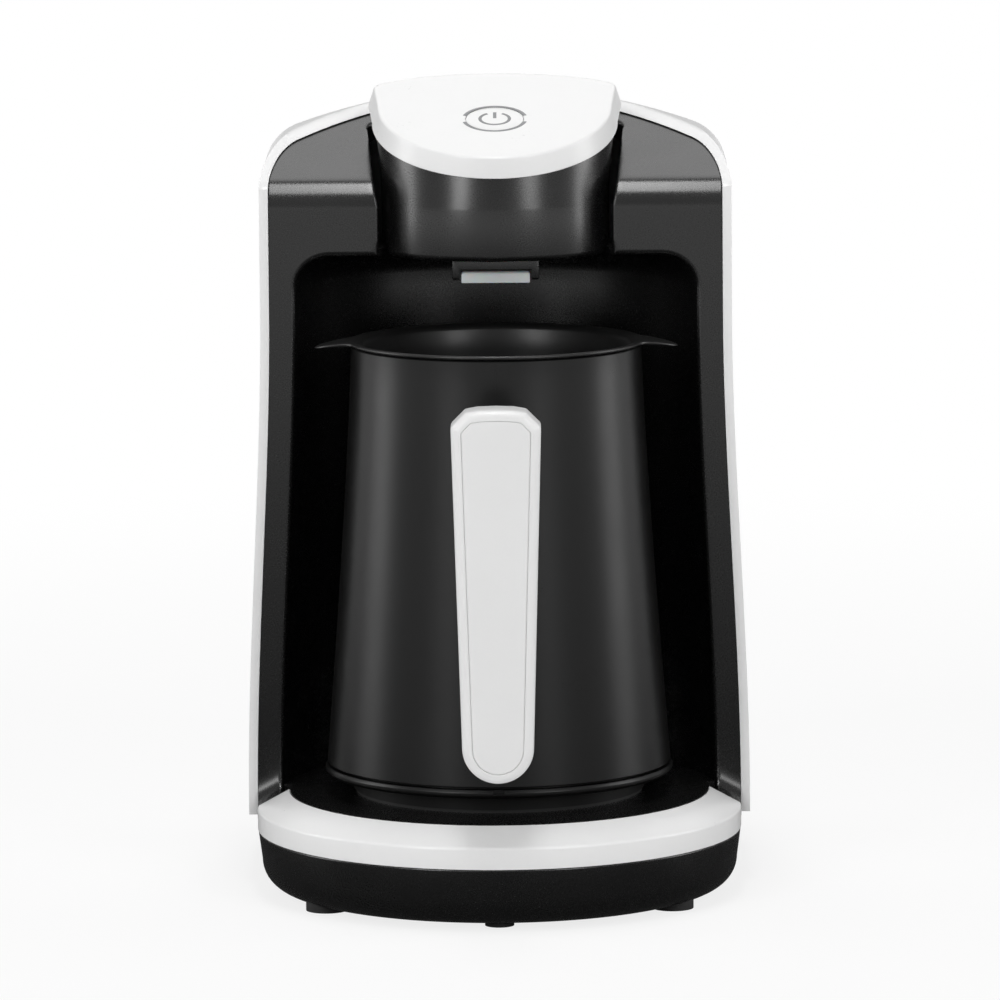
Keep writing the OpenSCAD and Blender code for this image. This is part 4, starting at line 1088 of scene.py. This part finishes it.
# painted shadow: reflections see the floor as this dim glow close to the object, white farther out
painted_shadow = make(tree, "ShaderNodeEmission", {}, {"Color": (1, 1, 1, 1), "Strength": 0.04})
painted_shadow_reflection = make(tree, "ShaderNodeMixShader", {}, {0: painted_shadow_fade, 1: painted_shadow, 2: white})
clean = make(tree, "ShaderNodeMapRange", {"interpolation_type": "SMOOTHSTEP"},
             {"Value": far, "From Min": 0.25, "From Max": 0.9, "To Min": 0.8, "To Max": 1.0})
mixed = make(tree, "ShaderNodeMixShader", {}, {0: seen * clean, 1: matt, 2: white})
mixed = make(tree, "ShaderNodeMixShader", {}, {0: glossy, 1: mixed, 2: painted_shadow_reflection})
out = tree.nodes.new("ShaderNodeOutputMaterial")
tree.links.new(mixed.socket, out.inputs["Surface"])
floor.data.materials.append(paper)
print("floor is", round(floor.dimensions.x), "m wide")

# %% World
world = bpy.data.worlds.new("studio")
bpy.context.scene.world = world
world.use_nodes = True
tree = world.node_tree
tree.nodes.clear()
rays = tree.nodes.new("ShaderNodeLightPath")
seen = Wire(tree, rays.outputs["Is Camera Ray"]) + Wire(tree, rays.outputs["Is Transmission Ray"])
even_light = 0.28
low = make(tree, "ShaderNodeBackground", {}, {"Color": (1, 1, 1, 1), "Strength": even_light})
high = make(tree, "ShaderNodeBackground", {}, {"Color": (1, 1, 1, 1), "Strength": 1.0})
sky = make(tree, "ShaderNodeMixShader", {}, {0: seen, 1: low, 2: high})
out = tree.nodes.new("ShaderNodeOutputWorld")
tree.links.new(sky.socket, out.inputs["Surface"])
print("world light", even_light)


# %% Lamps
def soft_box(name, place, aim, width, height, watts):
    bpy.ops.object.select_all(action="DESELECT")
    bpy.ops.object.light_add(type="AREA", location=place)
    lamp = bpy.context.object
    lamp.name = name
    lamp.data.shape = "RECTANGLE"
    lamp.data.size, lamp.data.size_y = width, height
    lamp.data.energy = watts
    lamp.rotation_euler = (Vector(aim) - Vector(place)).to_track_quat("-Z", "Y").to_euler()
    print(name, watts, "W")


soft_box("left box", (-1.4, 0.15, 0.5), (0, 0, 0.12), 0.5, 1.1, 4.9)
soft_box("right box", (1.4, 0.15, 0.5), (0, 0, 0.12), 0.5, 1.1, 4.8)
soft_box("left front box", (-1.1, -1.6, 0.95), (0, 0, 0.12), 0.55, 1.4, 11.8)
soft_box("right front box", (1.1, -1.6, 0.95), (0, 0, 0.12), 0.55, 1.4, 9.3)
soft_box("top box", (0, -0.22, 1.45), (0, 0, 0.2), 0.18, 1.2, 7.3)
soft_box("rear box", (0, 1.5, 1.5), (0, 0, 0.15), 2.0, 1.0, 6.5)

# %% Finish
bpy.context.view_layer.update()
view = bpy.context.scene.view_settings
view.view_transform = "Standard"
view.look = "None"
